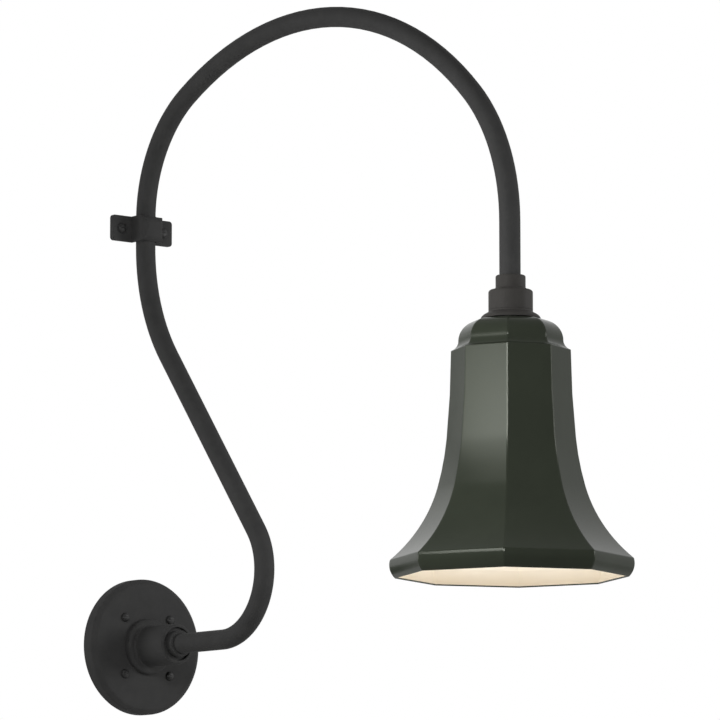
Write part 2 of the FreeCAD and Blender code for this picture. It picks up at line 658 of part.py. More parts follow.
def make_clamp_strap():
    bore = "(Sizes.tube_diameter / 2 + Sizes.strap_bore_gap)"
    standoff = "(Sizes.tube_wall_gap + Sizes.tube_diameter / 2)"
    half = f"({bore} + Sizes.strap_thickness)"
    close = SIZE["thread_fit"]
    half_width = SIZE["strap_width"] / 2
    hump = box("strap_hump", f"2 * {half}", f"{standoff} + {half}", "Sizes.strap_width")
    place(hump, UPRIGHT, x=f"-{half}", y=f"-({standoff} + {half})", z="-Sizes.strap_width / 2")
    DOC.recompute()
    front = -hump.Shape.BoundBox.YLength
    crown = DOC.addObject("Part::Fillet", "strap_crown")
    crown.Base = hump
    crown.Edges = [(index, SIZE["strap_crown_round"], SIZE["strap_crown_round"])
                   for index in strap_edges(hump, lambda edge, middle: abs(middle.z) < close
                                            and abs(middle.y - front) < close)]
    DOC.recompute()
    bevelled = DOC.addObject("Part::Chamfer", "strap_ends")
    bevelled.Base = crown
    bevelled.Edges = [(index, SIZE["strap_bevel"], SIZE["strap_bevel"])
                      for index in strap_edges(crown, lambda edge, middle:
                                               abs(abs(middle.z) - half_width) < close
                                               and middle.y < -close)]
    ears = box("strap_ears", "2 * Sizes.strap_half_length", "Sizes.strap_thickness",
               "Sizes.strap_width")
    place(ears, UPRIGHT, x="-Sizes.strap_half_length", y="-Sizes.strap_thickness",
          z="-Sizes.strap_width / 2")
    DOC.recompute()
    corners = DOC.addObject("Part::Fillet", "strap_ear_corners")
    corners.Base = ears
    corners.Edges = [(index, SIZE["strap_corner"], SIZE["strap_corner"])
                     for index in strap_edges(ears, lambda edge, middle:
                                              abs(abs(middle.x) - SIZE["strap_half_length"]) < close
                                              and abs(abs(middle.z) - half_width) < close)]
    tools = []
    length = "Sizes.strap_width + 2 * Sizes.cut_overrun"
    round_cut = cylinder("strap_bore", bore, length)
    tools.append(place(round_cut, UPRIGHT, y=f"-{standoff}",
                       z="-Sizes.strap_width / 2 - Sizes.cut_overrun"))
    slot = box("strap_throat", f"2 * {bore}", f"{standoff} + Sizes.cut_overrun", length)
    tools.append(place(slot, UPRIGHT, x=f"-{bore}", y=f"-{standoff}",
                       z="-Sizes.strap_width / 2 - Sizes.cut_overrun"))
    for side in (-1, 1):
        hole = cylinder("strap_hole", "Sizes.strap_screw_shank / 2 + Sizes.hole_fit",
                        "Sizes.strap_thickness + 2 * Sizes.cut_overrun")
        tools.append(place(hole, OUTWARD, x=f"{side} * Sizes.strap_screw_spacing / 2",
                           y="Sizes.cut_overrun"))
    strap = cut("clamp_strap", fuse("clamp_strap", [bevelled, corners]), tools)
    node(place(strap, UPRIGHT, z="(Sizes.clamp_height + Sizes.strap_raise)"), "clamp_strap")


def make_clamp_screws():
    screws = []
    length = "Sizes.strap_thickness + Sizes.strap_screw_reach"
    for side in (-1, 1):
        screw = slotted_screw("clamp_screw", "Sizes.strap_screw_thread",
                              "Sizes.strap_screw_head", "Sizes.strap_screw_dome", f"({length})",
                              ("Sizes.strap_screw_shank",
                               "(Sizes.strap_screw_reach - Sizes.strap_screw_shank_reach)"))
        screws.append(place(screw, OUTWARD, x=f"{side} * Sizes.strap_screw_spacing / 2",
                            y="Sizes.strap_screw_reach", z="(Sizes.clamp_height + Sizes.strap_raise)"))
    node(group("clamp_screws", screws), "clamp_screws")


# Socket cap, collar and what carries the shade, on the shade's axis

# The arm's end follows from its bends, from the strap down to the straight leg.
CROWN_HEADING = "(Sizes.shoulder_angle + Sizes.crown_angle)"
CROWN_BEND = ("((Sizes.arm_reach - Sizes.tube_wall_gap - Sizes.tube_diameter / 2"
              " - Sizes.shoulder_bend * (1 - cos(Sizes.shoulder_angle))"
              f" - Sizes.front_bend * (1 + cos{CROWN_HEADING}))"
              f" / (cos(Sizes.shoulder_angle) - cos{CROWN_HEADING}))")
ARM_END = ("(Sizes.clamp_height + Sizes.clamp_run / 2"
           " + Sizes.shoulder_bend * sin(Sizes.shoulder_angle)"
           f" + {CROWN_BEND} * (sin{CROWN_HEADING} - sin(Sizes.shoulder_angle))"
           f" - Sizes.front_bend * sin{CROWN_HEADING} - Sizes.arm_leg)")
CAP_FOOT = f"({ARM_END} - Sizes.cap_drop)"
COLLAR_FOOT = f"({CAP_FOOT} - Sizes.collar_band - Sizes.collar_flare_height)"
SHADE_TOP = f"({COLLAR_FOOT} - Sizes.shade_gasket_thickness)"
SHADE_CEILING = f"({SHADE_TOP} - Sizes.shade_wall)"
WASHER_FOOT = f"({SHADE_CEILING} - Sizes.shade_washer_thickness)"
SHADE_NUT_FOOT = f"({WASHER_FOOT} - Sizes.shade_nut_thickness)"
HOLDER_TOP = f"({SHADE_NUT_FOOT} - Sizes.holder_drop)"
HOLDER_SPLIT = f"({HOLDER_TOP} - Sizes.holder_top_height)"
HOLDER_FOOT = f"({HOLDER_SPLIT} - Sizes.holder_body_height)"
NIPPLE_FOOT = f"({HOLDER_SPLIT} + Sizes.holder_chamber_height)"
REACH = "-Sizes.arm_reach"


def shade_top():
    return (arm_end() - SIZE["cap_drop"] - SIZE["collar_band"]
            - SIZE["collar_flare_height"] - SIZE["shade_gasket_thickness"])


def holder_split():
    return (shade_top() - SIZE["shade_wall"] - SIZE["shade_washer_thickness"]
            - SIZE["shade_nut_thickness"] - SIZE["holder_drop"] - SIZE["holder_top_height"])


def on_axis(piece, height, label):
    return node(place(piece, UPRIGHT, y=REACH, z=height), label)


def make_socket_cap():
    inner = "Sizes.cap_diameter / 2 - Sizes.cap_wall"
    ceiling = "Sizes.cap_body_height - Sizes.cap_ceiling"
    bore = "Sizes.tube_diameter / 2 + Sizes.tube_fit"
    cap = turned("socket_cap", [
        (inner, "0"),
        ("Sizes.cap_diameter / 2", "0"),
        ("Sizes.cap_diameter / 2", "Sizes.cap_body_height"),
        ("Sizes.neck_diameter / 2", "Sizes.cap_body_height"),
        ("Sizes.neck_diameter / 2", "Sizes.cap_height"),
        (bore, "Sizes.cap_height"),
        (bore, ceiling),
        (inner, ceiling),
    ])
    rounded(cap, "cap_shoulder", [(SIZE["cap_diameter"] / 2, SIZE["cap_body_height"])],
            "Sizes.cap_shoulder_round")
    rounded(cap, "cap_mouth", [(SIZE["neck_diameter"] / 2, SIZE["cap_height"])],
            "Sizes.neck_round")
    rounded(cap, "cap_root", [(SIZE["neck_diameter"] / 2, SIZE["cap_body_height"])],
            "Sizes.cap_root_round")
    on_axis(cap, CAP_FOOT, "socket_cap")


def make_shade_collar():
    bore = "Sizes.nipple_diameter / 2 + Sizes.hole_fit"
    rim = "Sizes.collar_flare_diameter / 2"
    waist = "Sizes.cap_diameter / 2"
    band_top = "Sizes.collar_flare_height + Sizes.collar_band"
    spigot = f"{waist} - Sizes.cap_wall - Sizes.hole_fit"
    web = f"{band_top} - Sizes.collar_web"
    outline = [
        (bore, "0"),
        ("Sizes.collar_boss_diameter / 2", "0"),
        ("Sizes.collar_boss_diameter / 2", web),
        (f"{waist} - Sizes.collar_skin", web),
        (f"{rim} - Sizes.collar_skin", "-Sizes.collar_rim_drop"),
    ]
    for wide_share, drop_share in reversed(FLARE_SHARES):
        outline.append((f"{waist} + ({rim} - {waist}) * {wide_share}",
                        "Sizes.collar_flare_height"
                        f" - (Sizes.collar_flare_height + Sizes.collar_rim_drop) * {drop_share}"))
    outline += [
        (waist, "Sizes.collar_flare_height"),
        (waist, band_top),
        (spigot, band_top),
        (spigot, f"{band_top} + Sizes.collar_spigot_height"),
        (f"{spigot} - Sizes.collar_spigot_wall", f"{band_top} + Sizes.collar_spigot_height"),
        (f"{spigot} - Sizes.collar_spigot_wall", band_top),
        (bore, band_top),
    ]
    on_axis(turned("shade_collar", outline), COLLAR_FOOT, "shade_collar")


def make_arm_bushing():
    outer = "Sizes.tube_diameter - 2 * Sizes.tube_wall - 2 * Sizes.thread_fit"
    inner = "Sizes.nipple_diameter + 2 * Sizes.thread_fit"
    on_axis(washer("arm_bushing", outer, inner, "Sizes.bushing_length"), ARM_END,
            "arm_bushing")


def make_fitter_nipple():
    length = (f"{ARM_END} + Sizes.bushing_length - Sizes.nipple_top_inset"
              f" - {NIPPLE_FOOT}")
    on_axis(washer("fitter_nipple", "Sizes.nipple_diameter", "Sizes.nipple_bore", length),
            NIPPLE_FOOT, "fitter_nipple")


def make_shade_fasteners():
    hole = "Sizes.nipple_diameter + 2 * Sizes.hole_fit"
    on_axis(washer("shade_gasket", "Sizes.collar_boss_diameter", hole,
                   "Sizes.shade_gasket_thickness"), SHADE_TOP, "shade_gasket")
    on_axis(washer("shade_washer", "Sizes.shade_washer_diameter", hole,
                   "Sizes.shade_washer_thickness"), WASHER_FOOT, "shade_washer")
    nut = hexagon_nut("shade_locknut", "Sizes.shade_nut_flats", "Sizes.shade_nut_thickness",
                      "Sizes.nipple_diameter + 2 * Sizes.thread_fit")
    on_axis(nut, SHADE_NUT_FOOT, "shade_locknut")


# Shade

def bell_half_outline(run_out):
    """One facet's outline from the axis to the mouth, square to the facet, and its end."""
    steps = [
        ("run", SIZE["shade_flat"]),
        ("bend", SIZE["dome_radius"], -QUARTER_TURN),
        ("bend", SIZE["cove_radius"], SIZE["cove_angle"]),
        ("turn", SIZE["bell_lead_angle"] - SIZE["cove_angle"]),
        ("bend", SIZE["bell_upper_radius"], SIZE["bell_upper_angle"]),
        ("bend", SIZE["bell_middle_radius"], SIZE["bell_middle_angle"]),
        ("bend", SIZE["bell_lower_radius"], SIZE["bell_lower_angle"]),
        ("turn", SIZE["rim_upper_angle"] - SIZE["bell_lead_angle"] - SIZE["bell_upper_angle"]
         - SIZE["bell_middle_angle"] - SIZE["bell_lower_angle"]),
        ("bend", SIZE["rim_radius"], -SIZE["rim_upper_angle"] - SIZE["rim_lower_angle"]),
    ]
    if run_out:
        steps.append(("run", run_out))
    edges, end, heading = walk((0, shade_top()), 0, steps)
    return edges, end


def bell_face(run_out):
    """The whole outline of two opposite facets as a face."""
    edges, end = bell_half_outline(run_out)
    mirrored = [edge.mirror(FreeCAD.Vector(), FreeCAD.Vector(0, 1, 0)) for edge in edges]
    floor = Part.LineSegment(flat(*end), flat(-end[0], end[1])).toShape()
    outline = Part.sortEdges(edges + mirrored + [floor])[0]
    return Part.Face(Part.Wire(outline)), end


def eight_sided(face, half_span):
    """The space that lies inside the outline of every pair of facets."""
    span = FreeCAD.Vector(2 * half_span, 0, 0)
    prism = face.translated(span * -0.5).extrude(span)
    result = None
    for index in range(FACETS // 2):
        turned_prism = prism.copy()
        angle = FULL_TURN / FACETS * (index + 0.5)
        turned_prism.rotate(FreeCAD.Vector(), FreeCAD.Vector(0, 0, 1), angle)
        result = turned_prism if result is None else result.common(turned_prism)
    return result


def make_shade():
    wall = SIZE["shade_wall"]
    face, end = bell_face(0)
    outside = eight_sided(face, 2 * end[0])
    long_face, long_end = bell_face(2 * wall + SIZE["cut_overrun"])
    inner_face = long_face.makeOffset2D(-wall, join=2)
    inside = eight_sided(inner_face, 2 * end[0])
    hole_radius = SIZE["nipple_diameter"] / 2 + SIZE["hole_fit"]
    hole = Part.makeCylinder(hole_radius, 2 * wall + 2 * SIZE["cut_overrun"],
                             flat(0, shade_top() - 2 * wall - SIZE["cut_overrun"]))
    shade = DOC.addObject("Part::Feature", "shade")
    shade.Shape = outside.cut(inside).cut(hole)
    node(place(shade, UPRIGHT, y=REACH), "shade")
    print("shade: mouth across its flats and its height:",
          round(2 * end[0], 1), round(shade_top() - end[1], 1))


# Lampholder

def holder_screw_places():
    for side in (-1, 1):
        yield f"{side} * Sizes.holder_screw_offset"


def make_socket_top():
    thread = "Sizes.nipple_diameter / 2 + Sizes.thread_fit"
    top = turned("socket_top", [
        ("Sizes.holder_chamber_diameter / 2", "0"),
        ("Sizes.holder_diameter / 2", "0"),
        ("Sizes.holder_diameter / 2", "Sizes.holder_top_height"),
        (thread, "Sizes.holder_top_height"),
        (thread, "Sizes.holder_chamber_height"),
        ("Sizes.holder_chamber_diameter / 2", "Sizes.holder_chamber_height"),
    ])
    rounded(top, "holder_top", [(SIZE["holder_diameter"] / 2, SIZE["holder_top_height"])],
            "Sizes.holder_edge_round")
    holes = []
    for across in holder_screw_places():
        hole = cylinder("holder_top_hole", "Sizes.holder_screw_thread / 2 + Sizes.thread_fit",
                        "Sizes.holder_top_height + 2 * Sizes.cut_overrun")
        holes.append(place(hole, UPRIGHT, x=across, z="-Sizes.cut_overrun"))
    on_axis(cut("socket_top", top, holes), HOLDER_SPLIT, "socket_top")


def make_lamp_socket():
    shell = "Sizes.shell_bore / 2 + Sizes.shell_wall + Sizes.shell_gap"
    floor = "Sizes.holder_body_height - Sizes.holder_web"
    pocket = "Sizes.spring_diameter / 2 + Sizes.spring_gap"
    stem = "Sizes.stem_diameter / 2 + Sizes.stem_fit"
    body = turned("lamp_socket", [
        (shell, "0"),
        ("Sizes.holder_diameter / 2", "0"),
        ("Sizes.holder_diameter / 2", "Sizes.holder_body_height"),
        (stem, "Sizes.holder_body_height"),
        (stem, f"{floor} + Sizes.spring_pocket"),
        (pocket, f"{floor} + Sizes.spring_pocket"),
        (pocket, floor),
        ("Sizes.shell_floor_hole / 2", floor),
        ("Sizes.shell_floor_hole / 2", "Sizes.shell_inset + Sizes.shell_length"),
        (shell, "Sizes.shell_inset + Sizes.shell_length"),
    ])
    rounded(body, "holder_mouth", [(SIZE["holder_diameter"] / 2, 0)], "Sizes.holder_edge_round")
    holes = []
    for across in holder_screw_places():
        hole = cylinder("holder_thread", "Sizes.holder_screw_thread / 2 + Sizes.thread_fit",
                        "Sizes.holder_screw_grip + Sizes.cut_overrun")
        holes.append(place(hole, UPRIGHT, x=across,
                           z="Sizes.holder_body_height - Sizes.holder_screw_grip"))
    for side in (-1, 1):
        hole = cylinder("terminal_thread",
                        "Sizes.terminal_screw_thread / 2 + Sizes.thread_fit",
                        "Sizes.terminal_screw_grip + Sizes.cut_overrun")
        holes.append(place(hole, UPRIGHT, y=f"{side} * Sizes.terminal_offset",
                           z="Sizes.holder_body_height - Sizes.terminal_screw_grip"))
    on_axis(cut("lamp_socket", body, holes), HOLDER_FOOT, "lamp_socket")


def make_socket_screws():
    screws = []
    length = "(Sizes.holder_top_height + Sizes.holder_screw_grip)"
    for across in holder_screw_places():
        screw = slotted_screw("holder_screw", "Sizes.holder_screw_thread",
                              "Sizes.holder_screw_head", "Sizes.holder_screw_dome", length)
        screws.append(place(screw, UPRIGHT, x=across, y=REACH,
                            z=f"{HOLDER_SPLIT} - Sizes.holder_screw_grip"))
    node(group("socket_screws", screws), "socket_screws")


def make_screw_shell():
    inner = "Sizes.shell_bore / 2"
    outer = f"{inner} + Sizes.shell_wall"
    length = "Sizes.shell_length"
    shell = turned("screw_shell", [
        (inner, "0"),
        (outer, "0"),
        (outer, length),
        ("Sizes.shell_floor_hole / 2", length),
        ("Sizes.shell_floor_hole / 2", f"{length} - Sizes.shell_wall"),
        (inner, f"{length} - Sizes.shell_wall"),
    ])
    on_axis(shell, f"{HOLDER_FOOT} + Sizes.shell_inset", "screw_shell")


WEB_FOOT = f"({HOLDER_SPLIT} - Sizes.holder_web)"
CONTACT_FOOT = f"({WEB_FOOT} - Sizes.contact_drop - Sizes.contact_thickness)"


def make_centre_contact():
    rise = "(Sizes.contact_thickness + Sizes.contact_drop + Sizes.holder_web + Sizes.stem_rise)"
    contact = turned("centre_contact", [
        ("0", "0"),
        ("Sizes.contact_diameter / 2", "0"),
        ("Sizes.contact_diameter / 2", "Sizes.contact_thickness"),
        ("Sizes.stem_diameter / 2", "Sizes.contact_thickness"),
        ("Sizes.stem_diameter / 2", rise),
        ("0", rise),
    ])
    rounded(contact, "contact", [(SIZE["contact_diameter"] / 2, 0)],
            "Sizes.contact_thickness / 2")
    on_axis(contact, CONTACT_FOOT, "centre_contact")
    clip = washer("contact_clip", "Sizes.clip_diameter",
                  "Sizes.stem_diameter + 2 * Sizes.thread_fit", "Sizes.clip_thickness")
    on_axis(clip, f"{HOLDER_SPLIT} + Sizes.clip_gap", "contact_clip")


def make_contact_spring():
    """The spring stands between the contact and the roof of its pocket."""
    wire = SIZE["spring_wire"]
    height = SIZE["contact_drop"] + SIZE["spring_pocket"]
    radius = (SIZE["spring_diameter"] - wire) / 2
    rise = height - wire - SIZE["thread_fit"] * 2
    helix = Part.makeHelix(rise / SIZE["spring_turns"], rise, radius)
    section = Part.Wire(Part.makeCircle(wire / 2, FreeCAD.Vector(radius, 0, 0),
                                        FreeCAD.Vector(0, 1, 0)))
    coil = Part.Wire(helix.Edges).makePipeShell([section], True, True)
    spring = DOC.addObject("Part::Feature", "contact_spring")
    spring.Shape = coil
    on_axis(spring, f"{WEB_FOOT} - Sizes.contact_drop + Sizes.spring_wire / 2 + Sizes.thread_fit",
            "contact_spring")


def make_terminals():
    """Each terminal is a brass plate on the porcelain, under a slotted screw."""
    screws = []
    for side, label in ((-1, "hot_terminal"), (1, "neutral_terminal")):
        middle = f"{REACH} + {side} * Sizes.terminal_offset"
        plate = box(f"{label}_plate", "Sizes.terminal_width", "Sizes.terminal_length",
                    "Sizes.terminal_thickness")
        place(plate, UPRIGHT, x="-Sizes.terminal_width / 2", y="-Sizes.terminal_length / 2")
        hole = cylinder(f"{label}_hole", "Sizes.terminal_screw_thread / 2 + Sizes.thread_fit",
                        "Sizes.terminal_thickness + 2 * Sizes.cut_overrun")
        place(hole, UPRIGHT, z="-Sizes.cut_overrun")
        terminal = cut(label, plate, [hole])
        node(place(terminal, UPRIGHT, y=middle, z=HOLDER_SPLIT), label)
        screw = slotted_screw(f"{label}_screw", "Sizes.terminal_screw_thread",
                              "Sizes.terminal_screw_head", "Sizes.terminal_screw_dome",
                              "(Sizes.terminal_screw_grip + Sizes.terminal_thickness)")
        screws.append(place(screw, UPRIGHT, y=middle,
                            z=f"{HOLDER_SPLIT} - Sizes.terminal_screw_grip"))
    node(group("terminal_screws", screws), "terminal_screws")


# Leads

def lead_wire(side, radius):
    """One lead, from its connector behind the plate to its terminal in the lampholder.

    It follows the arm's centre line at lead_offset to one side. Behind the plate it turns up
    or down, and in the wiring chamber it turns out towards its terminal.
    """
    bend = SIZE["lead_bend"]
    wall_distance = SIZE["lead_wall_distance"]
    tail = SIZE["connector_distance"] + SIZE["connector_grip"] - bend
    steps = [("run", tail), ("bend", bend, side * QUARTER_TURN)]
    nipple_foot = holder_split() + SIZE["holder_chamber_height"]
    steps += arm_steps(wall_distance + bend, arm_end() - nipple_foot)
    fan = math.radians(SIZE["lead_fan_angle"])
    level = SIZE["holder_chamber_height"] - bend * math.sin(fan)
    landing = SIZE["terminal_thickness"] + radius
    steps += [("bend", bend, side * SIZE["lead_fan_angle"])]
    steps += [("run", (level - landing) / math.cos(fan))]
    start = (wall_distance, side * (tail + bend))
    edges = walk(start, -side * QUARTER_TURN, steps)[0]
    spine = Part.Wire(edges)
    section = Part.Wire(Part.makeCircle(radius, flat(*start), FreeCAD.Vector(0, 0, 1)))
    lead = spine.makePipeShell([section], True, False)
    lead.translate(FreeCAD.Vector(side * SIZE["lead_offset"], 0, 0))
    return lead, spine.Length


def make_leads():
    radius = SIZE["lead_diameter"] / 2
    for side, label in ((1, "hot_lead"), (-1, "neutral_lead")):
        shape, length = lead_wire(side, radius)
        lead = DOC.addObject("Part::Feature", label)
        lead.Shape = shape
        node(lead, label)
        expected = math.pi * radius ** 2 * length
        print(f"{label}: length {length:.0f}, volume over section times length "
              f"{shape.Volume / expected:.4f}")


def make_wire_connectors():
    caps = []
    for side in (1, -1):
        cone = turned("connector", [
            ("Sizes.lead_diameter / 2 + Sizes.connector_fit", "0"),
            ("Sizes.connector_diameter / 2", "0"),
            ("Sizes.connector_tip_diameter / 2", "Sizes.connector_length"),
            ("0", "Sizes.connector_length"),
            ("0", "Sizes.connector_grip + Sizes.connector_fit"),
            ("Sizes.lead_diameter / 2 + Sizes.connector_fit",
             "Sizes.connector_grip + Sizes.connector_fit"),
        ])
        turn = UPRIGHT if side > 0 else UPSIDE_DOWN
        caps.append(place(cone, turn, x=f"{side} * Sizes.lead_offset",
                          y="-Sizes.lead_wall_distance", z=f"{side} * Sizes.connector_distance"))
    node(group("wire_connectors", caps), "wire_connectors")


# Build, check and write

def check_document():
    DOC.recompute()
    for piece in DOC.Objects:
        if "Invalid" in piece.State or "Error" in piece.State:
            sys.exit(f"{piece.Label} failed: {piece.State}")
    for piece in NODES:
        shape = piece.Shape
        if shape.isNull() or not shape.isValid() or not shape.Solids:
            sys.exit(f"{piece.Label} has no valid solid")


def write_parts():
    os.makedirs("parts", exist_ok=True)
    for piece in NODES:
        piece.Shape.exportStep(f"parts/{piece.Label}.step")
        bounds = piece.Shape.BoundBox
        print(f"{piece.Label}: {len(piece.Shape.Solids)} solid(s), {piece.Shape.Volume:.0f} mm3, "
              f"Y {bounds.YMin:.1f} to {bounds.YMax:.1f}, Z {bounds.ZMin:.1f} to {bounds.ZMax:.1f}")


make_plate_gasket()
make_mounting_ring()
make_ground_screw()
make_wall_plate()
make_plate_screws()
make_arm_hub()
make_hub_locknut()
make_gooseneck_arm()
make_clamp_strap()
make_clamp_screws()
make_socket_cap()
make_shade_collar()
make_arm_bushing()
make_fitter_nipple()
make_shade_fasteners()
make_shade()
make_socket_top()
make_lamp_socket()
make_socket_screws()
make_screw_shell()
make_centre_contact()
make_contact_spring()
make_terminals()
make_leads()
make_wire_connectors()
check_document()
write_parts()
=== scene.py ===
# %% [markdown]
# A gooseneck barn light, dressed for the camera.
#
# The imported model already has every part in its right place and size. This script keeps that
# as a fixed frame, remakes the parts that a visitor sees with finer edges, and gives every
# part a finish. The light's own sizes are in millimetres, as on the workshop drawing, and MM
# turns them into Blender's metres. The camera, the lamps and the floor are placed in metres.
# The wall is the plane Y = 0, and the light stands out of it along -Y.

import math

import bmesh
import bpy
from mathutils import Matrix, Vector


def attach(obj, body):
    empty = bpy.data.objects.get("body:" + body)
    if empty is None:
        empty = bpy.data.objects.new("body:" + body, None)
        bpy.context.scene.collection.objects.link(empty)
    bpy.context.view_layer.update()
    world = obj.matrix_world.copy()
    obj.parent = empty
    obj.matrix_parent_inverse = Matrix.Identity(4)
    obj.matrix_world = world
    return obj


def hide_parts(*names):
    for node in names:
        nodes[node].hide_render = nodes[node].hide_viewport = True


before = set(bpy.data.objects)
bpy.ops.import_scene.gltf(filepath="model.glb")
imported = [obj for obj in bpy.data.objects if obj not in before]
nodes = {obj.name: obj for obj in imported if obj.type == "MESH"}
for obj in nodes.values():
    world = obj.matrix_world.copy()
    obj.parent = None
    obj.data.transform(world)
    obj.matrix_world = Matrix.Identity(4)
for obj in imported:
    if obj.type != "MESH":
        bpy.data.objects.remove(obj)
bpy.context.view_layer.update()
MM = 0.001
WHITE = (1, 1, 1, 1)
print("CAD nodes:", len(nodes))

# %% [markdown]
# The photograph was taken from in front, from the left and from a little below the shade,
# because the far edge of the shade's mouth shows. A long lens from far away keeps the arm's
# curves free of distortion. The camera is built from its three axes: right, up, and back,
# which points from the light to the camera.

# %% Camera
CAMERA_PLACE = (-3.26396, -4.29845, -0.41020)
CAMERA_AZIMUTH = math.radians(-39.762)
CAMERA_ELEVATION = math.radians(-7.645)
LENS = 250
SENSOR = 36

back = Vector((
    math.sin(CAMERA_AZIMUTH) * math.cos(CAMERA_ELEVATION),
    -math.cos(CAMERA_AZIMUTH) * math.cos(CAMERA_ELEVATION),
    math.sin(CAMERA_ELEVATION),
))
right = Vector((math.cos(CAMERA_AZIMUTH), math.sin(CAMERA_AZIMUTH), 0))
camera_data = bpy.data.cameras.new("studio_camera")
camera_data.lens = LENS
camera_data.sensor_width = SENSOR
camera = bpy.data.objects.new("studio_camera", camera_data)
camera.matrix_world = Matrix.Translation(CAMERA_PLACE) @ Matrix(
    (right, back.cross(right), back)).transposed().to_4x4()
bpy.context.scene.collection.objects.link(camera)
bpy.context.scene.camera = camera
print("camera stands", round(Vector(CAMERA_PLACE).length, 2), "m from the wall plate")

# %% [markdown]
# The background of a product photograph is plain white. Here the world is white only where
# the camera, a glossy surface or clear glass sees it. For everything else it is a soft grey
# that fills the shadows, so a white background adds no light of its own. The floor needs the
# same test of the rays that reach it, so the test is a helper.

# %% World
WORLD_FILL = 0.18


def seen_directly(web):
    """A socket that is 1 where the camera, a glossy surface or clear glass sees, else 0."""
    path = web.nodes.new("ShaderNodeLightPath")
    seen = path.outputs["Is Camera Ray"]
    for ray in ("Is Glossy Ray", "Is Transmission Ray"):
        larger = web.nodes.new("ShaderNodeMath")
        larger.operation = "MAXIMUM"
        web.links.new(seen, larger.inputs[0])
        web.links.new(path.outputs[ray], larger.inputs[1])
        seen = larger.outputs[0]
    return seen


scene = bpy.context.scene
scene.view_settings.view_transform = "Standard"
world = bpy.data.worlds.new("studio")
scene.world = world
world.use_nodes = True
world_tree = world.node_tree
world_tree.nodes.clear()
fill_light = world_tree.nodes.new("ShaderNodeBackground")
fill_light.inputs["Color"].default_value = WHITE
fill_light.inputs["Strength"].default_value = WORLD_FILL
backdrop = world_tree.nodes.new("ShaderNodeBackground")
backdrop.inputs["Color"].default_value = WHITE
mix = world_tree.nodes.new("ShaderNodeMixShader")
out = world_tree.nodes.new("ShaderNodeOutputWorld")
world_tree.links.new(seen_directly(world_tree), mix.inputs["Fac"])
world_tree.links.new(fill_light.outputs[0], mix.inputs[1])
world_tree.links.new(backdrop.outputs[0], mix.inputs[2])
world_tree.links.new(mix.outputs[0], out.inputs["Surface"])
print("fill light from all round:", WORLD_FILL)

# %% [markdown]
# Soft boxes stand round the lamp, each named by the way it is seen from the shade: an azimuth,
# where 0 is straight out from the wall and 90 is to the right, an elevation and a distance.
# Glow is how bright its face is, so a small box can be bright without lighting much.
# Six of them stand one above the other on the left. The second from below is the brightest,
# and above it each is dimmer than the last. The shade's front left facet mirrors them, and
# they make its pale band and the slow fade below it. The thin strip draws the bright line
# down the front ridge. The key on the right shapes the black parts, and the rim lamp, behind
# on the left, parts them from the white. The last box lies under the mouth and shines up
# into it.

# %% Soft boxes
LIGHT_CENTRE = Vector((0, -0.61, 0.2))
LEFT_AZIMUTH = -86.5
LEFT_WIDTH = 0.2
LEFT_BOXES = [
    {"elevation": 5.15, "distance": 0.66, "height": 0.073, "glow": 25},
    {"elevation": 10.9, "distance": 0.66, "height": 0.06, "glow": 30},
    {"elevation": 16.05, "distance": 0.68, "height": 0.058, "glow": 15.5},
    {"elevation": 20.15, "distance": 0.7, "height": 0.038, "glow": 8.5},
    {"elevation": 23.9, "distance": 0.7, "height": 0.051, "glow": 4},
    {"elevation": 35, "distance": 0.8, "height": 0.25, "glow": 0.8},
]


def soft_box(name, azimuth, elevation, distance, width, height, glow):
    """A rectangular lamp, sizes in metres and turns in degrees, that faces the shade."""
    turn, tilt = math.radians(azimuth), math.radians(elevation)
    way = Vector((math.sin(turn) * math.cos(tilt), -math.cos(turn) * math.cos(tilt),
                  math.sin(tilt)))
    lamp = bpy.data.lights.new(name, "AREA")
    lamp.shape = "RECTANGLE"
    lamp.size = width
    lamp.size_y = height
    lamp.energy = glow * math.pi * width * height
    holder = bpy.data.objects.new(name, lamp)
    holder.rotation_euler = (-way).to_track_quat("-Z", "Y").to_euler()
    holder.location = LIGHT_CENTRE + way * distance
    bpy.context.scene.collection.objects.link(holder)
    print(f"{name}: {lamp.energy:.1f} W")


for number, box in enumerate(LEFT_BOXES, 1):
    soft_box(f"soft_box_left_{number}", LEFT_AZIMUTH, width=LEFT_WIDTH, **box)
soft_box("strip_left", azimuth=-48.3, elevation=12, distance=1.05, width=0.04, height=0.2,
         glow=125)
soft_box("key_right", azimuth=52, elevation=8, distance=2.8, width=1.0, height=1.2, glow=14)
soft_box("rim_left", azimuth=-130, elevation=5, distance=2.5, width=0.8, height=1.2, glow=7)
soft_box("soft_box_under_mouth", azimuth=0, elevation=-90, distance=0.225, width=0.15,
         height=0.15, glow=2.35)

# %% [markdown]
# The floor is far below a wall light, and the camera, which looks up a little, doesn't see
# it. It is matt and takes the light's shadow. Where the camera, a glossy surface or clear
# glass does see it, it glows a little, so that it looks as pale as the background there.

# %% Floor
FLOOR_LEVEL = -0.95
FLOOR_REACH = 9
FLOOR_COLOUR = (0.86, 0.86, 0.85, 1)
FLOOR_ROUGHNESS = 0.9
FLOOR_GLOW = 0.55

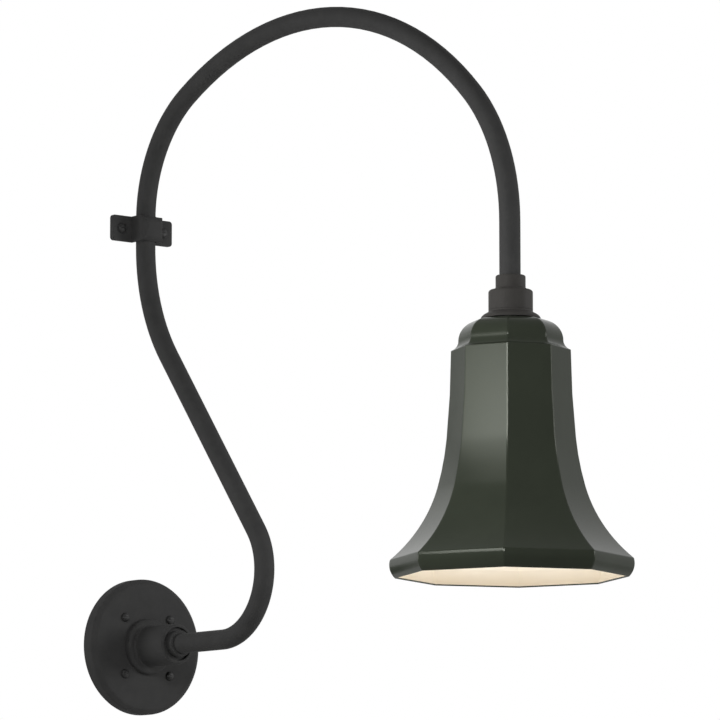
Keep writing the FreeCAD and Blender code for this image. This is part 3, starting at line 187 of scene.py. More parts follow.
floor_bm = bmesh.new()
bmesh.ops.create_grid(floor_bm, x_segments=2, y_segments=2, size=FLOOR_REACH)
bmesh.ops.translate(floor_bm, verts=floor_bm.verts[:], vec=(0, 0, FLOOR_LEVEL))
floor_mesh = bpy.data.meshes.new("floor")
floor_bm.to_mesh(floor_mesh)
floor_bm.free()
floor = bpy.data.objects.new("floor", floor_mesh)
bpy.context.scene.collection.objects.link(floor)
floor_paint = bpy.data.materials.new("floor_paint")
floor_paint.use_nodes = True
floor_tree = floor_paint.node_tree
floor_shader = floor_tree.nodes["Principled BSDF"]
floor_shader.inputs["Base Color"].default_value = FLOOR_COLOUR
floor_shader.inputs["Roughness"].default_value = FLOOR_ROUGHNESS
floor_shader.inputs["Emission Color"].default_value = WHITE
floor_glow = floor_tree.nodes.new("ShaderNodeMath")
floor_glow.operation = "MULTIPLY"
floor_glow.inputs[1].default_value = FLOOR_GLOW
floor_tree.links.new(seen_directly(floor_tree), floor_glow.inputs[0])
floor_tree.links.new(floor_glow.outputs[0], floor_shader.inputs["Emission Strength"])
floor_mesh.materials.append(floor_paint)
print("floor:", 2 * FLOOR_REACH, "m across,", -FLOOR_LEVEL, "m below the wall plate's centre")

# %% [markdown]
# Finishes. A real coat is never one flat colour: powder paint is slightly pebbled, enamel
# varies in depth, plated steel is cloudy. Each finish below mixes two close tones with a
# soft noise, varies the roughness with the same noise, and raises a very fine bump with a
# second one. The patterns read Object coordinates, so they are as large on a screw as on the
# shade. What is the same all over is set on the shader's own socket.

# %% Finish maker
NOISE_LOW = 0.3
NOISE_HIGH = 0.7
CLOUD_DETAIL = 4
CLOUD_ROUGHNESS = 0.6
GRAIN_DETAIL = 2


def finish(name, tones, cloud, roughness, grain, bump, **sockets):
    """A coat with two tones, a cloud size and a grain size in millimetres.

    roughness is a pair, smoothest and roughest. bump is the height of the grain in
    millimetres. sockets are values for the shader, with underscores for spaces.
    """
    material = bpy.data.materials.new(name)
    material.use_nodes = True
    web = material.node_tree
    shader = web.nodes["Principled BSDF"]
    place = web.nodes.new("ShaderNodeTexCoord")
    clouds = web.nodes.new("ShaderNodeTexNoise")
    clouds.inputs["Scale"].default_value = 1 / (cloud * MM)
    clouds.inputs["Detail"].default_value = CLOUD_DETAIL
    clouds.inputs["Roughness"].default_value = CLOUD_ROUGHNESS
    web.links.new(place.outputs["Object"], clouds.inputs["Vector"])
    ramp = web.nodes.new("ShaderNodeValToRGB")
    ramp.color_ramp.elements[0].position = NOISE_LOW
    ramp.color_ramp.elements[1].position = NOISE_HIGH
    ramp.color_ramp.elements[0].color = (*tones[0], 1)
    ramp.color_ramp.elements[1].color = (*tones[1], 1)
    web.links.new(clouds.outputs["Fac"], ramp.inputs["Fac"])
    web.links.new(ramp.outputs["Color"], shader.inputs["Base Color"])
    spread = web.nodes.new("ShaderNodeMapRange")
    spread.inputs["From Min"].default_value = NOISE_LOW
    spread.inputs["From Max"].default_value = NOISE_HIGH
    spread.inputs["To Min"].default_value = roughness[0]
    spread.inputs["To Max"].default_value = roughness[1]
    web.links.new(clouds.outputs["Fac"], spread.inputs["Value"])
    web.links.new(spread.outputs["Result"], shader.inputs["Roughness"])
    grains = web.nodes.new("ShaderNodeTexNoise")
    grains.inputs["Scale"].default_value = 1 / (grain * MM)
    grains.inputs["Detail"].default_value = GRAIN_DETAIL
    web.links.new(place.outputs["Object"], grains.inputs["Vector"])
    relief = web.nodes.new("ShaderNodeBump")
    relief.inputs["Strength"].default_value = 1
    relief.inputs["Distance"].default_value = bump * MM
    web.links.new(grains.outputs["Fac"], relief.inputs["Height"])
    web.links.new(relief.outputs["Normal"], shader.inputs["Normal"])
    for socket, value in sockets.items():
        shader.inputs[socket.replace("_", " ")].default_value = value
    return material


# %% [markdown]
# The arm, the plate, the hub and the strap wear the same matt black powder coat. It is not
# quite black: in soft light it shows as a dark charcoal, with the faint pebble of powder
# that has flowed together. The screws are darker and a little glossier. The cap above the
# shade is warmer and smoother.

# %% Black coats
powder_black = finish("powder_black", ((0.034, 0.034, 0.0338), (0.0415, 0.0413, 0.041)), 18,
                      (0.58, 0.66), 0.9, 0.012, Specular_IOR_Level=0.03)
screw_black = finish("screw_black", ((0.017, 0.017, 0.017), (0.022, 0.0218, 0.0215)), 4,
                     (0.4, 0.48), 0.5, 0.006, Specular_IOR_Level=0.12)
bronze_black = finish("bronze_black", ((0.034, 0.0323, 0.0304), (0.0397, 0.0378, 0.0355)), 14,
                      (0.48, 0.56), 0.9, 0.01, Specular_IOR_Level=0.05)

# %% [markdown]
# The shade is porcelain enamel on steel: a deep green outside and cream inside. Enamel is
# glossy and slightly wavy, so its highlights are soft at their borders. The cream is bright
# and a little rougher, because it is there to throw the light down.

# %% Enamels
green_enamel = finish("green_enamel", ((0.0222, 0.0262, 0.0186), (0.0261, 0.0306, 0.0217)), 60,
                      (0.15, 0.18), 3.5, 0.004, Specular_IOR_Level=0.065,
                      Specular_Tint=(0.95, 1, 0.88, 1))
cream_enamel = finish("cream_enamel", ((0.83, 0.76, 0.65), (0.87, 0.8, 0.685)), 60,
                      (0.3, 0.36), 3.0, 0.004, Specular_IOR_Level=0.4)

# %% [markdown]
# Metals and mouldings that show from behind or from below: bright zinc on the mounting
# hardware, plain brass in the lampholder, spring steel, glazed porcelain, black rubber, the
# insulation of the leads, the connectors and the green paint of the ground screw.

# %% Metals and mouldings
zinc_plate = finish("zinc_plate", ((0.52, 0.53, 0.54), (0.66, 0.67, 0.68)), 9, (0.26, 0.42),
                    0.7, 0.006, Metallic=1.0)
spring_wire = finish("spring_wire", ((0.42, 0.42, 0.43), (0.5, 0.5, 0.51)), 3, (0.24, 0.34),
                     0.4, 0.003, Metallic=1.0)
tinned_brass = finish("tinned_brass", ((0.62, 0.62, 0.6), (0.7, 0.7, 0.68)), 4, (0.28, 0.38),
                      0.4, 0.003, Metallic=1.0)
plain_brass = finish("plain_brass", ((0.66, 0.46, 0.2), (0.78, 0.58, 0.28)), 7, (0.22, 0.36),
                     0.6, 0.004, Metallic=1.0)
porcelain_glaze = finish("porcelain_glaze", ((0.8, 0.79, 0.755), (0.86, 0.85, 0.82)), 12,
                         (0.1, 0.18), 2.4, 0.006, Coat_Weight=0.4)
black_rubber = finish("black_rubber", ((0.02, 0.02, 0.02), (0.03, 0.03, 0.03)), 10,
                      (0.7, 0.8), 0.6, 0.02)
black_insulation = finish("black_insulation", ((0.02, 0.02, 0.02), (0.028, 0.028, 0.028)), 12,
                          (0.4, 0.5), 0.5, 0.006)
white_insulation = finish("white_insulation", ((0.68, 0.67, 0.64), (0.76, 0.75, 0.72)), 12,
                          (0.4, 0.5), 0.5, 0.006)
orange_moulding = finish("orange_moulding", ((0.62, 0.2, 0.03), (0.7, 0.25, 0.045)), 8,
                         (0.36, 0.46), 0.6, 0.01)
green_paint = finish("green_paint", ((0.02, 0.16, 0.05), (0.03, 0.2, 0.07)), 3, (0.3, 0.4),
                     0.5, 0.005)

# %% [markdown]
# Nodes that stay as the CAD made them only get their finish. They are inside or behind the
# plate, the arm, the cap and the lampholder, where their plain shapes are right.

# %% Finishes for the CAD nodes
NODE_FINISHES = {
    "plate_gasket": black_rubber, "mounting_ring": zinc_plate, "ground_screw": green_paint,
    "hub_locknut": zinc_plate, "arm_bushing": zinc_plate, "fitter_nipple": zinc_plate,
    "shade_gasket": black_rubber, "shade_washer": zinc_plate, "shade_locknut": zinc_plate,
    "socket_screws": zinc_plate, "centre_contact": plain_brass, "contact_clip": spring_wire,
    "contact_spring": spring_wire, "hot_terminal": plain_brass,
    "neutral_terminal": tinned_brass, "terminal_screws": plain_brass,
    "hot_lead": black_insulation, "neutral_lead": white_insulation,
    "wire_connectors": orange_moulding,
}
for label, coat in NODE_FINISHES.items():
    node_mesh = nodes[label].data
    node_mesh.materials.clear()
    node_mesh.materials.append(coat)
print("CAD nodes with a finish:", len(NODE_FINISHES))

# %% [markdown]
# Most of the new pieces are turned. `turned` spins a cross-section round the Z axis, as a
# lathe does. A corner of the cross-section may carry a third number, the reach of its
# rounding, and the bevel operator rounds it before the spin. `row_of_points` lays out a
# cross-section, `spun` is the spin itself, and `moved` and `shift` put a mesh in its place.

# %% Helpers for turned pieces
OUTWARD = Matrix.Rotation(math.radians(90), 4, "X")
CENTRE = (0, 0, 0)
UPWARD = (0, 0, 1)
FULL_TURN = 2 * math.pi
TURNING_STEPS = 96
ROUNDING_STEPS = 5
MERGE_DISTANCE = 0.001 * MM


def row_of_points(bm, places):
    """New points at places in metres, with an edge from each one to the next."""
    points = [bm.verts.new(place) for place in places]
    for here, there in zip(points, points[1:]):
        bm.edges.new((here, there))
    return points


def spun(bm, geometry, centre, axis, angle, steps, merge=False, climb=CENTRE):
    """Spin points and edges round an axis, and return the last ones that this makes."""
    return bmesh.ops.spin(bm, geom=geometry, cent=centre, axis=axis, dvec=climb, angle=angle,
                          steps=steps, use_merge=merge, use_normal_flip=False,
                          use_duplicate=False)["geom_last"]


def turned(outline, steps=TURNING_STEPS):
    """Spin (radius, height) or (radius, height, rounding) corners round the Z axis."""
    bm = bmesh.new()
    corners = row_of_points(bm, [(corner[0] * MM, 0, corner[1] * MM) for corner in outline])
    if outline[0][0] or outline[-1][0]:
        bm.edges.new((corners[-1], corners[0]))
    for vertex, corner in zip(corners, outline):
        if len(corner) > 2:
            bmesh.ops.bevel(bm, geom=[vertex], offset=corner[2] * MM, offset_type="OFFSET",
                            segments=ROUNDING_STEPS, profile=0.5, affect="VERTICES",
                            material=-1)
    spun(bm, bm.verts[:] + bm.edges[:], CENTRE, UPWARD, FULL_TURN, steps, merge=True)
    bmesh.ops.remove_doubles(bm, verts=bm.verts[:], dist=MERGE_DISTANCE)
    bmesh.ops.recalc_face_normals(bm, faces=bm.faces[:])
    return bm


def moved(bm, matrix):
    """Move a whole mesh by a matrix."""
    bmesh.ops.transform(bm, matrix=matrix, space=Matrix.Identity(4), verts=bm.verts[:])
    return bm


def shift(across, out, up):
    """A move in millimetres: across to +X, out from the wall, and up."""
    return Matrix.Translation((across * MM, -out * MM, up * MM))


# %% [markdown]
# Every finished mesh goes through `show`. It becomes a piece that rides on a body of the
# frame and stands for the node that it replaces. Faces are shaded smooth, except where two of
# them meet at more than the sharp angle.

# %% Helper for finished pieces
SHARP_ANGLE = math.radians(38)


def show(name, bm, replaced, coats, body="light", sharp=SHARP_ANGLE):
    """Make a piece from a mesh. It rides on a body and replaces a CAD node."""
    mesh = bpy.data.meshes.new(name)
    bm.to_mesh(mesh)
    bm.free()
    for coat in coats:
        mesh.materials.append(coat)
    mesh.shade_smooth()
    mesh.set_sharp_from_angle(angle=sharp)
    piece = bpy.data.objects.new(name, mesh)
    bpy.context.scene.collection.objects.link(piece)
    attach(piece, body)
    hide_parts(replaced)
    print(f"{name}: {len(mesh.polygons)} faces")
    return piece


# %% [markdown]
# The wall plate is a shallow cast cover with a bevelled rim, hollow behind. Its cross-section
# is drawn from the rim inwards, and the bevel's corners are softened, because paint never
# leaves a knife edge. The inside follows the outside at the thickness of the casting.

# %% Wall plate
PLATE_RADIUS = 73
PLATE_BACK = 1.5
PLATE_RIM = 13.5
PLATE_FLAT = 67.8
PLATE_FACE = 17.7
PLATE_HOLE = 13.3
PLATE_WALL = 3.2
PLATE_STEPS = 160
show("cover_plate", moved(turned([
    (PLATE_RADIUS, PLATE_BACK), (PLATE_RADIUS, PLATE_RIM, 1.1), (PLATE_FLAT, PLATE_FACE, 1.4),
    (PLATE_HOLE, PLATE_FACE), (PLATE_HOLE, PLATE_FACE - PLATE_WALL),
    (PLATE_FLAT - PLATE_WALL, PLATE_FACE - PLATE_WALL, 1),
    (PLATE_RADIUS - PLATE_WALL, PLATE_RIM - PLATE_WALL, 1),
    (PLATE_RADIUS - PLATE_WALL, PLATE_BACK),
], PLATE_STEPS), OUTWARD), "wall_plate", [powder_black])

# %% [markdown]
# The hub is one casting: a spigot that enters the plate's hole, a wide foot, a round body
# with a rounded shoulder, and a neck that stands in a groove. The groove shows as a dark
# ring. The arm's tube enters the neck and ends on a seat inside.

# %% Hub
HUB_WIRE_WAY = 8
HUB_BACK = 10.5
HUB_SPIGOT = 13
HUB_FOOT = 30
HUB_FOOT_FRONT = 25
HUB_BODY = 21.8
HUB_BODY_FRONT = 71.5
GROOVE_RADIUS = 17.8
GROOVE_FLOOR = 68.5
HUB_NECK = 14
HUB_MOUTH = 78
TUBE_HOLE = 10.72
ARM_SEAT = 35
show("hub_casting", moved(turned([
    (HUB_WIRE_WAY, HUB_BACK), (HUB_SPIGOT, HUB_BACK, 0.6), (HUB_SPIGOT, PLATE_FACE),
    (HUB_FOOT, PLATE_FACE), (HUB_FOOT, HUB_FOOT_FRONT, 4.5), (HUB_BODY, HUB_FOOT_FRONT, 2.3),
    (HUB_BODY, HUB_BODY_FRONT, 3.4), (GROOVE_RADIUS, HUB_BODY_FRONT, 0.6),
    (GROOVE_RADIUS, GROOVE_FLOOR), (HUB_NECK, GROOVE_FLOOR), (HUB_NECK, HUB_MOUTH, 1.8),
    (TUBE_HOLE, HUB_MOUTH, 0.4), (TUBE_HOLE, ARM_SEAT), (HUB_WIRE_WAY, ARM_SEAT),
]), OUTWARD), "arm_hub", [powder_black])

# %% [markdown]
# The arm is half-inch pipe, bent in five places in one plane. A ring of points is pulled
# along straight runs by extrusion and round each bend by a spin about the bend's centre, the
# way a bending machine works. The shade's profile is later pulled from one point in the same
# way.

# %% Bending along a route
BEND_STEP = math.radians(2.5)
SHORTEST_STEP = 1.2
FEWEST_STEPS = 2


def verts_in(items):
    """The points among an operator's results."""
    return [item for item in items if isinstance(item, bmesh.types.BMVert)]


def edges_in(items):
    """The edges among an operator's results."""
    return [item for item in items if isinstance(item, bmesh.types.BMEdge)]


def pull(bm, geometry, out, up):
    """Extrude a point or a ring, and move the new end by out and up in millimetres."""
    if edges_in(geometry):
        pulled = bmesh.ops.extrude_edge_only(bm, edges=edges_in(geometry))["geom"]
    else:
        pulled = bmesh.ops.extrude_vert_indiv(bm, verts=geometry)["verts"]
    ends = verts_in(pulled)
    bmesh.ops.translate(bm, verts=ends, vec=(0, -out * MM, up * MM))
    return ends + [edge for edge in edges_in(pulled) if all(end in ends for end in edge.verts)]


def travel(bm, geometry, start, heading, route):
    """Pull a point or a ring along a route in the plane X = 0.

    start is (out, up) in millimetres and heading is in degrees, 0 pointing out from the wall.
    Steps are ("run", length), ("bend", radius, angle) and ("turn", angle). A positive angle
    turns from out to up. Returns the last points and edges, and the place where they end.
    """
    out, up = start
    for kind, *sizes in route:
        course = math.radians(heading)
        if kind == "turn":
            heading += sizes[0]
        elif kind == "run":
            move = (math.cos(course) * sizes[0], math.sin(course) * sizes[0])
            geometry = pull(bm, geometry, *move)
            out, up = out + move[0], up + move[1]
        else:
            radius, angle = sizes[0], math.radians(sizes[1])
            side = math.copysign(1, angle)
            centre = (out - side * radius * math.sin(course),
                      up + side * radius * math.cos(course))
            steps = min(abs(angle) / BEND_STEP, abs(angle) * radius / SHORTEST_STEP)
            geometry = spun(bm, geometry, (0, -centre[0] * MM, centre[1] * MM), (-side, 0, 0),
                            abs(angle), max(FEWEST_STEPS, int(steps)))
            heading += sizes[1]
            course = math.radians(heading)
            out = centre[0] + side * radius * math.sin(course)
            up = centre[1] - side * radius * math.cos(course)
    return geometry, (out, up)


# %% [markdown]
# The route has the same five bends as the workshop drawing. The outer and the inner ring
# travel it one after the other, and bridges close the two ends into a pipe wall. The place
# that is printed is the middle of the arm's lower end: 609.2 mm out from the wall and 315 mm
# above the hub's axis.

# %% Gooseneck arm
TUBE_RADIUS = 10.65
TUBE_INNER_RADIUS = 8.35
TUBE_SIDES = 64
ARM_START = (ARM_SEAT, 0)
ARM_ROUTE = [
    ("run", 113.86), ("bend", 70, 127.2), ("run", 251.87), ("bend", 206, -37.2), ("run", 30),
    ("bend", 145, -59.7), ("bend", 385.75, -75.9), ("bend", 198.5, -44.4), ("run", 75.65),
]
arm = bmesh.new()
arm_rims = []
for radius in (TUBE_RADIUS, TUBE_INNER_RADIUS):
    ring = bmesh.ops.create_circle(arm, cap_ends=False, radius=radius * MM,
                                   segments=TUBE_SIDES)["verts"]
    bmesh.ops.transform(arm, matrix=shift(0, *ARM_START) @ OUTWARD,
                        space=Matrix.Identity(4), verts=ring)
    members = set(ring)
    ring_edges = [edge for edge in arm.edges if set(edge.verts) <= members]
    last, arm_end = travel(arm, ring + ring_edges, ARM_START, 0, ARM_ROUTE)
    arm_rims.append((ring_edges, edges_in(last)))
print("arm ends at", [round(value, 2) for value in arm_end])
for outer, inner in zip(*arm_rims):
    bmesh.ops.bridge_loops(arm, edges=outer + inner)
bmesh.ops.recalc_face_normals(arm, faces=arm.faces[:])
show("arm_tube", arm, "gooseneck_arm", [powder_black])

# %% [markdown]
# A slotted round-head screw. The dome is turned, then planes slice it at the slot's two walls
# and at its floor, the faces between the walls are lifted out, and new faces close the cut.
# The dome's two corners are given as shares of the head, so one shape serves every size.

# %% Slotted screws
SLOT_WIDTH = 1.3
SLOT_DEPTH = 1.5
SCREW_STEPS = 48
TIP_ROUNDING = 0.4
HEAD_ROUNDING = 0.3
# Share of the head's width, of the dome's height, and the rounding as a share of that height.
DOME_CORNERS = [(0.5, 0.34, 0.4), (0.36, 0.86, 0.35)]


def slotted_screw(thread, head, dome, length, smooth=None):
    """A screw whose tip is at the origin and whose head points to +Z, in millimetres.

    thread and head are diameters. smooth is the radius and the start of a thicker smooth
    shank under the head, for a screw that has one.
    """
    half = SLOT_WIDTH / 2 * MM
    shank = [(thread / 2, length)]
    if smooth:
        radius, start = smooth
        shank = [(thread / 2, start), (radius, start), (radius, length)]
    bm = turned([(0, 0), (thread / 2, 0, TIP_ROUNDING), *shank,
                 (head / 2, length, HEAD_ROUNDING),
                 *[(head * width, length + height * dome, rounding * dome)
                   for width, height, rounding in DOME_CORNERS],
                 (0, length + dome)], SCREW_STEPS)
    floor_height = (length + dome - SLOT_DEPTH) * MM
    for place, normal in (((0, half, 0), (0, 1, 0)), ((0, -half, 0), (0, 1, 0)),
                          ((0, 0, floor_height), UPWARD)):
        bmesh.ops.bisect_plane(bm, geom=bm.verts[:] + bm.edges[:] + bm.faces[:],
                               dist=MERGE_DISTANCE, plane_co=place, plane_no=normal,
                               use_snap_center=False, clear_outer=False, clear_inner=False)
    lifted = []
    for face in bm.faces:
        centre = face.calc_center_median()
        if abs(centre.y) < half and centre.z > floor_height:
            lifted.append(face)
    bmesh.ops.delete(bm, geom=lifted, context="FACES")
    for side in (-1, 1):
        wall_edges = [edge for edge in bm.edges if edge.is_boundary
                      and all(abs(point.co.y - side * half) < MERGE_DISTANCE
                              for point in edge.verts)]
        wall_points = dict.fromkeys(point for edge in wall_edges for point in edge.verts)
        tips = [point for point in wall_points
                if sum(edge in wall_edges for edge in point.link_edges) == 1]
        foot = bmesh.ops.contextual_create(bm, geom=tips)["edges"]
        bmesh.ops.edgenet_fill(bm, edges=wall_edges + foot)
    bmesh.ops.holes_fill(bm, edges=[edge for edge in bm.edges if edge.is_boundary], sides=0)
    bmesh.ops.recalc_face_normals(bm, faces=bm.faces[:])
    return bm


def copies(bm, places):
    """One mesh that holds a copy of another at each place, given as matrices."""
    source = bpy.data.meshes.new("source")
    bm.to_mesh(source)
    bm.free()
    joined = bmesh.new()
    for matrix in places:
        piece = source.copy()
        piece.transform(matrix)
        joined.from_mesh(piece)
        bpy.data.meshes.remove(piece)
    bpy.data.meshes.remove(source)
    return joined


# %% [markdown]
# Four screws hold the plate, at the corners of a square on a circle of 85.7 mm. Their slots
# all lie level, as on the photographed light.

# %% Plate screws
PLATE_SCREW_CIRCLE = 85.7
PLATE_SCREW = {"thread": 4.2, "head": 10, "dome": 3.4, "length": 12}
corner_reach = PLATE_SCREW_CIRCLE / 2 * math.cos(math.radians(45))
show("plate_screw_set", copies(slotted_screw(**PLATE_SCREW), [
    shift(across, PLATE_FACE - PLATE_SCREW["length"], up) @ OUTWARD
    for across in (-corner_reach, corner_reach) for up in (-corner_reach, corner_reach)
]), "plate_screws", [screw_black])

# %% [markdown]
# The strap holds the tube to the wall. It is a flat bar with a hump over the tube. Its
# outline, seen from above, is a ring of edges: the ears, the hump and the bore. It is filled
# and pulled up to the bar's width.

# %% Strap bar
CLAMP_HEIGHT = 455.5
STRAP_HALF_WIDTH = 14
STRAP_BORE = 10.95
TUBE_STANDOFF = 11.25
EAR = 40.8
EAR_THICKNESS = 4.2
HUMP = 15.15
HUMP_FRONT = 26.4
BORE_STEPS = 32
strap_outline = [
    (-STRAP_BORE, 0), (-EAR, 0), (-EAR, EAR_THICKNESS), (-HUMP, EAR_THICKNESS),
    (-HUMP, HUMP_FRONT), (HUMP, HUMP_FRONT), (HUMP, EAR_THICKNESS), (EAR, EAR_THICKNESS),
    (EAR, 0), (STRAP_BORE, 0), (STRAP_BORE, TUBE_STANDOFF),
]
strap = bmesh.new()
points = row_of_points(strap, [(across * MM, -out * MM, -STRAP_HALF_WIDTH * MM)
                               for across, out in strap_outline])
arc = spun(strap, [points[-1]], (0, -TUBE_STANDOFF * MM, -STRAP_HALF_WIDTH * MM), (0, 0, -1),
           math.pi, BORE_STEPS)
strap.edges.new((verts_in(arc)[0], points[0]))
bmesh.ops.contextual_create(strap, geom=strap.edges[:])
pulled_bar = bmesh.ops.extrude_face_region(strap, geom=strap.faces[:])["geom"]
bmesh.ops.translate(strap, vec=(0, 0, 2 * STRAP_HALF_WIDTH * MM), verts=verts_in(pulled_bar))
bmesh.ops.recalc_face_normals(strap, faces=strap.faces[:])
print("strap bar:", len(strap.faces), "faces")

# %% [markdown]
# The hump's front corners and the ears' corners are rounded, both ends of the hump are
# bevelled, and every edge that is still sharp is eased a little. Each set of edges is found
# by where it lies.

# %% Strap edges
STRAP_STOP = 0.02 * MM
HUMP_ROUNDING = 9
HUMP_STEPS = 8
EAR_ROUNDING = 3.6
EAR_STEPS = 6
HUMP_END_BEVEL = 4.4
EDGE_EASING = 0.45
EASED_ANGLE = math.radians(30)
JUST_BEYOND = 0.1
CLOSE_BY = 1


def at(vertex, across, out):
    """Whether a point lies at a place of the strap's outline, whatever its height."""
    return (abs(abs(vertex.co.x) - across * MM) < STRAP_STOP
            and abs(-vertex.co.y - out * MM) < STRAP_STOP)


def is_level(edge):
    """Whether an edge lies level, as those do that run round the bar's two ends."""
    return abs(edge.verts[0].co.z - edge.verts[1].co.z) < STRAP_STOP


def on_hump(vertex):
    """Whether a point lies at the side or the front of the hump."""
    return (abs(vertex.co.x) > (HUMP - HUMP_ROUNDING - CLOSE_BY / 2) * MM
            or -vertex.co.y > (HUMP_FRONT - CLOSE_BY) * MM)


def in_bore(vertex):
    """Whether a point lies in the bore, or close by."""
    from_middle = Vector((vertex.co.x, vertex.co.y + TUBE_STANDOFF * MM))
    return from_middle.length < (STRAP_BORE + CLOSE_BY) * MM


def bevel_edges(bm, edges, reach, segments):
    """Bevel edges by a reach in millimetres."""
    bmesh.ops.bevel(bm, geom=edges, offset=reach * MM, offset_type="OFFSET",
                    segments=segments, profile=0.5, affect="EDGES", clamp_overlap=True,
                    material=-1)


bevel_edges(strap, [edge for edge in strap.edges
                    if all(at(point, HUMP, HUMP_FRONT) for point in edge.verts)],
            HUMP_ROUNDING, HUMP_STEPS)
bevel_edges(strap, [edge for edge in strap.edges
                    if is_level(edge) and all(at(point, EAR, 0) or at(point, EAR, EAR_THICKNESS)
                                              for point in edge.verts)],
            EAR_ROUNDING, EAR_STEPS)
hump_ends = []
for edge in strap.edges:
    front = max(-point.co.y for point in edge.verts)
    if (is_level(edge) and front > (EAR_THICKNESS + JUST_BEYOND) * MM
            and abs(edge.verts[0].co.z) > (STRAP_HALF_WIDTH - JUST_BEYOND) * MM
            and all(on_hump(point) for point in edge.verts)
            and not all(in_bore(point) for point in edge.verts)):
        hump_ends.append(edge)
bevel_edges(strap, hump_ends, HUMP_END_BEVEL, 1)
bevel_edges(strap, [edge for edge in strap.edges if len(edge.link_faces) == 2
                    and edge.calc_face_angle() > EASED_ANGLE], EDGE_EASING, 2)
show("wall_strap", moved(strap, shift(0, 0, CLAMP_HEIGHT)), "clamp_strap",
     [powder_black])

# %% [markdown]
# Two screws hold the strap. Under the head each shank is smooth and a little thicker. The
# thread behind it goes on into the wall, and the model cuts it short there.

# %% Strap screws
STRAP_SCREW_SPACING = 56
STRAP_SCREW = {"thread": 5, "head": 11.4, "dome": 3.2, "length": 16.2, "smooth": (2.8, 9.5)}
show("strap_screw_set", copies(slotted_screw(**STRAP_SCREW), [
    shift(across, EAR_THICKNESS - STRAP_SCREW["length"], CLAMP_HEIGHT) @ OUTWARD
    for across in (-STRAP_SCREW_SPACING / 2, STRAP_SCREW_SPACING / 2)
]), "clamp_screws", [screw_black])

# %% [markdown]
# The socket cap is a small turned bell on the end of the tube: a neck with a rounded mouth, a
# hollow root and a rounded shoulder over a straight band. The collar below it flares like a
# trumpet and covers the top of the shade. Where the two meet, each has a slightly broken
# edge, and that makes the fine line round the band.

# %% Socket cap and collar
REACH = 610
COLLAR_FOOT = 292.8
COLLAR_TOP = 7.5
CAP_FOOT = COLLAR_FOOT + COLLAR_TOP
BAND = 22.2
CAP_BORE = 19.4
CAP_CEILING = 16
CAP_SHOULDER = 20.5
CAP_NECK = 15
CAP_MOUTH = 35.2
show("cap_turning", moved(turned([
    (CAP_BORE, 0), (BAND, 0, 0.35), (BAND, CAP_SHOULDER, 2.8), (CAP_NECK, CAP_SHOULDER, 3.2),
    (CAP_NECK, CAP_MOUTH, 1.8), (TUBE_HOLE, CAP_MOUTH, 0.3), (TUBE_HOLE, CAP_CEILING),
    (CAP_BORE, CAP_CEILING),
]), shift(0, REACH, CAP_FOOT)), "socket_cap", [bronze_black])

NIPPLE_HOLE = 6.65
GASKET_SEAT = 17
HOLLOW_REACH = 20
HOLLOW_HEIGHT = 4.9
FLARE = [(28, -1.2), (30.2, -1.2, 0.4), (29.16, 1.11, 0.8), (27.16, 3, 1.2), (24.28, 4.47, 1.2)]
FLARE_TOP = 5.8
SPIGOT = 19.1
SPIGOT_BORE = 16.7
SPIGOT_TOP = 13
show("collar_turning", moved(turned([
    (NIPPLE_HOLE, 0), (GASKET_SEAT, 0), (GASKET_SEAT, HOLLOW_HEIGHT),
    (HOLLOW_REACH, HOLLOW_HEIGHT), *FLARE, (BAND, FLARE_TOP, 0.4), (BAND, COLLAR_TOP, 0.35),
    (SPIGOT, COLLAR_TOP), (SPIGOT, SPIGOT_TOP), (SPIGOT_BORE, SPIGOT_TOP),
    (SPIGOT_BORE, COLLAR_TOP), (NIPPLE_HOLE, COLLAR_TOP),
]), shift(0, REACH, COLLAR_FOOT)), "shade_collar", [bronze_black])

# %% [markdown]
# The shade has eight sides. One facet's profile is pulled out of a single point: a flat top,
# the dome, the hollow, the step, the long bell in three arcs, and the rolled band under the
# crease. A spin in only eight steps makes facets that are flat from side to side, between
# straight ridges. Seen square on, a facet is nearer to the axis than a ridge, so the profile
# is first stretched out to the ridge.

# %% Shade facets
SHADE_TOP = 290.8
HOLE_REACH = 8
DOME_START = 27.6
FACETS = 8
SHADE_MIDDLE = 200
BELL_ROUTE = [
    ("run", DOME_START - HOLE_REACH), ("bend", 21, -90), ("bend", 10, 71.3), ("turn", -71.0),
    ("bend", 1028, 4.95), ("bend", 298, 9.3), ("bend", 145, 33.7), ("turn", -32.85),
    ("bend", 19.5, -58.7),
]
shade = bmesh.new()
first = shade.verts.new((0, -HOLE_REACH * MM, SHADE_TOP * MM))
mouth_edge = travel(shade, [first], (HOLE_REACH, SHADE_TOP), 0, BELL_ROUTE)[1]
print("facet ends at", [round(value, 2) for value in mouth_edge])
to_ridge = 1 / math.cos(math.pi / FACETS)
bmesh.ops.scale(shade, vec=(1, to_ridge, 1), verts=shade.verts[:])
spun(shade, shade.verts[:] + shade.edges[:], CENTRE, UPWARD, FULL_TURN, FACETS, merge=True)
bmesh.ops.remove_doubles(shade, verts=shade.verts[:], dist=MERGE_DISTANCE)
bmesh.ops.recalc_face_normals(shade, faces=shade.faces[:])
shade_middle = Vector((0, 0, SHADE_MIDDLE * MM))
if sum(face.normal.dot(face.calc_center_median() - shade_middle) for face in shade.faces) < 0:
    bmesh.ops.reverse_faces(shade, faces=shade.faces[:])
print("shade:", len(shade.faces), "faces before its edges are bevelled")

# %% [markdown]
# The ridges are bevelled by 0.8 mm, and the step and the crease by 0.5 mm. These flats have
# sharp borders, so each mirrors one lamp as a thin bright line. The sheet gets its thickness
# from a Solidify modifier, which also gives the inside its cream coat. A Bevel modifier eases
# the rim of the mouth, and weighted normals keep the facets flat.

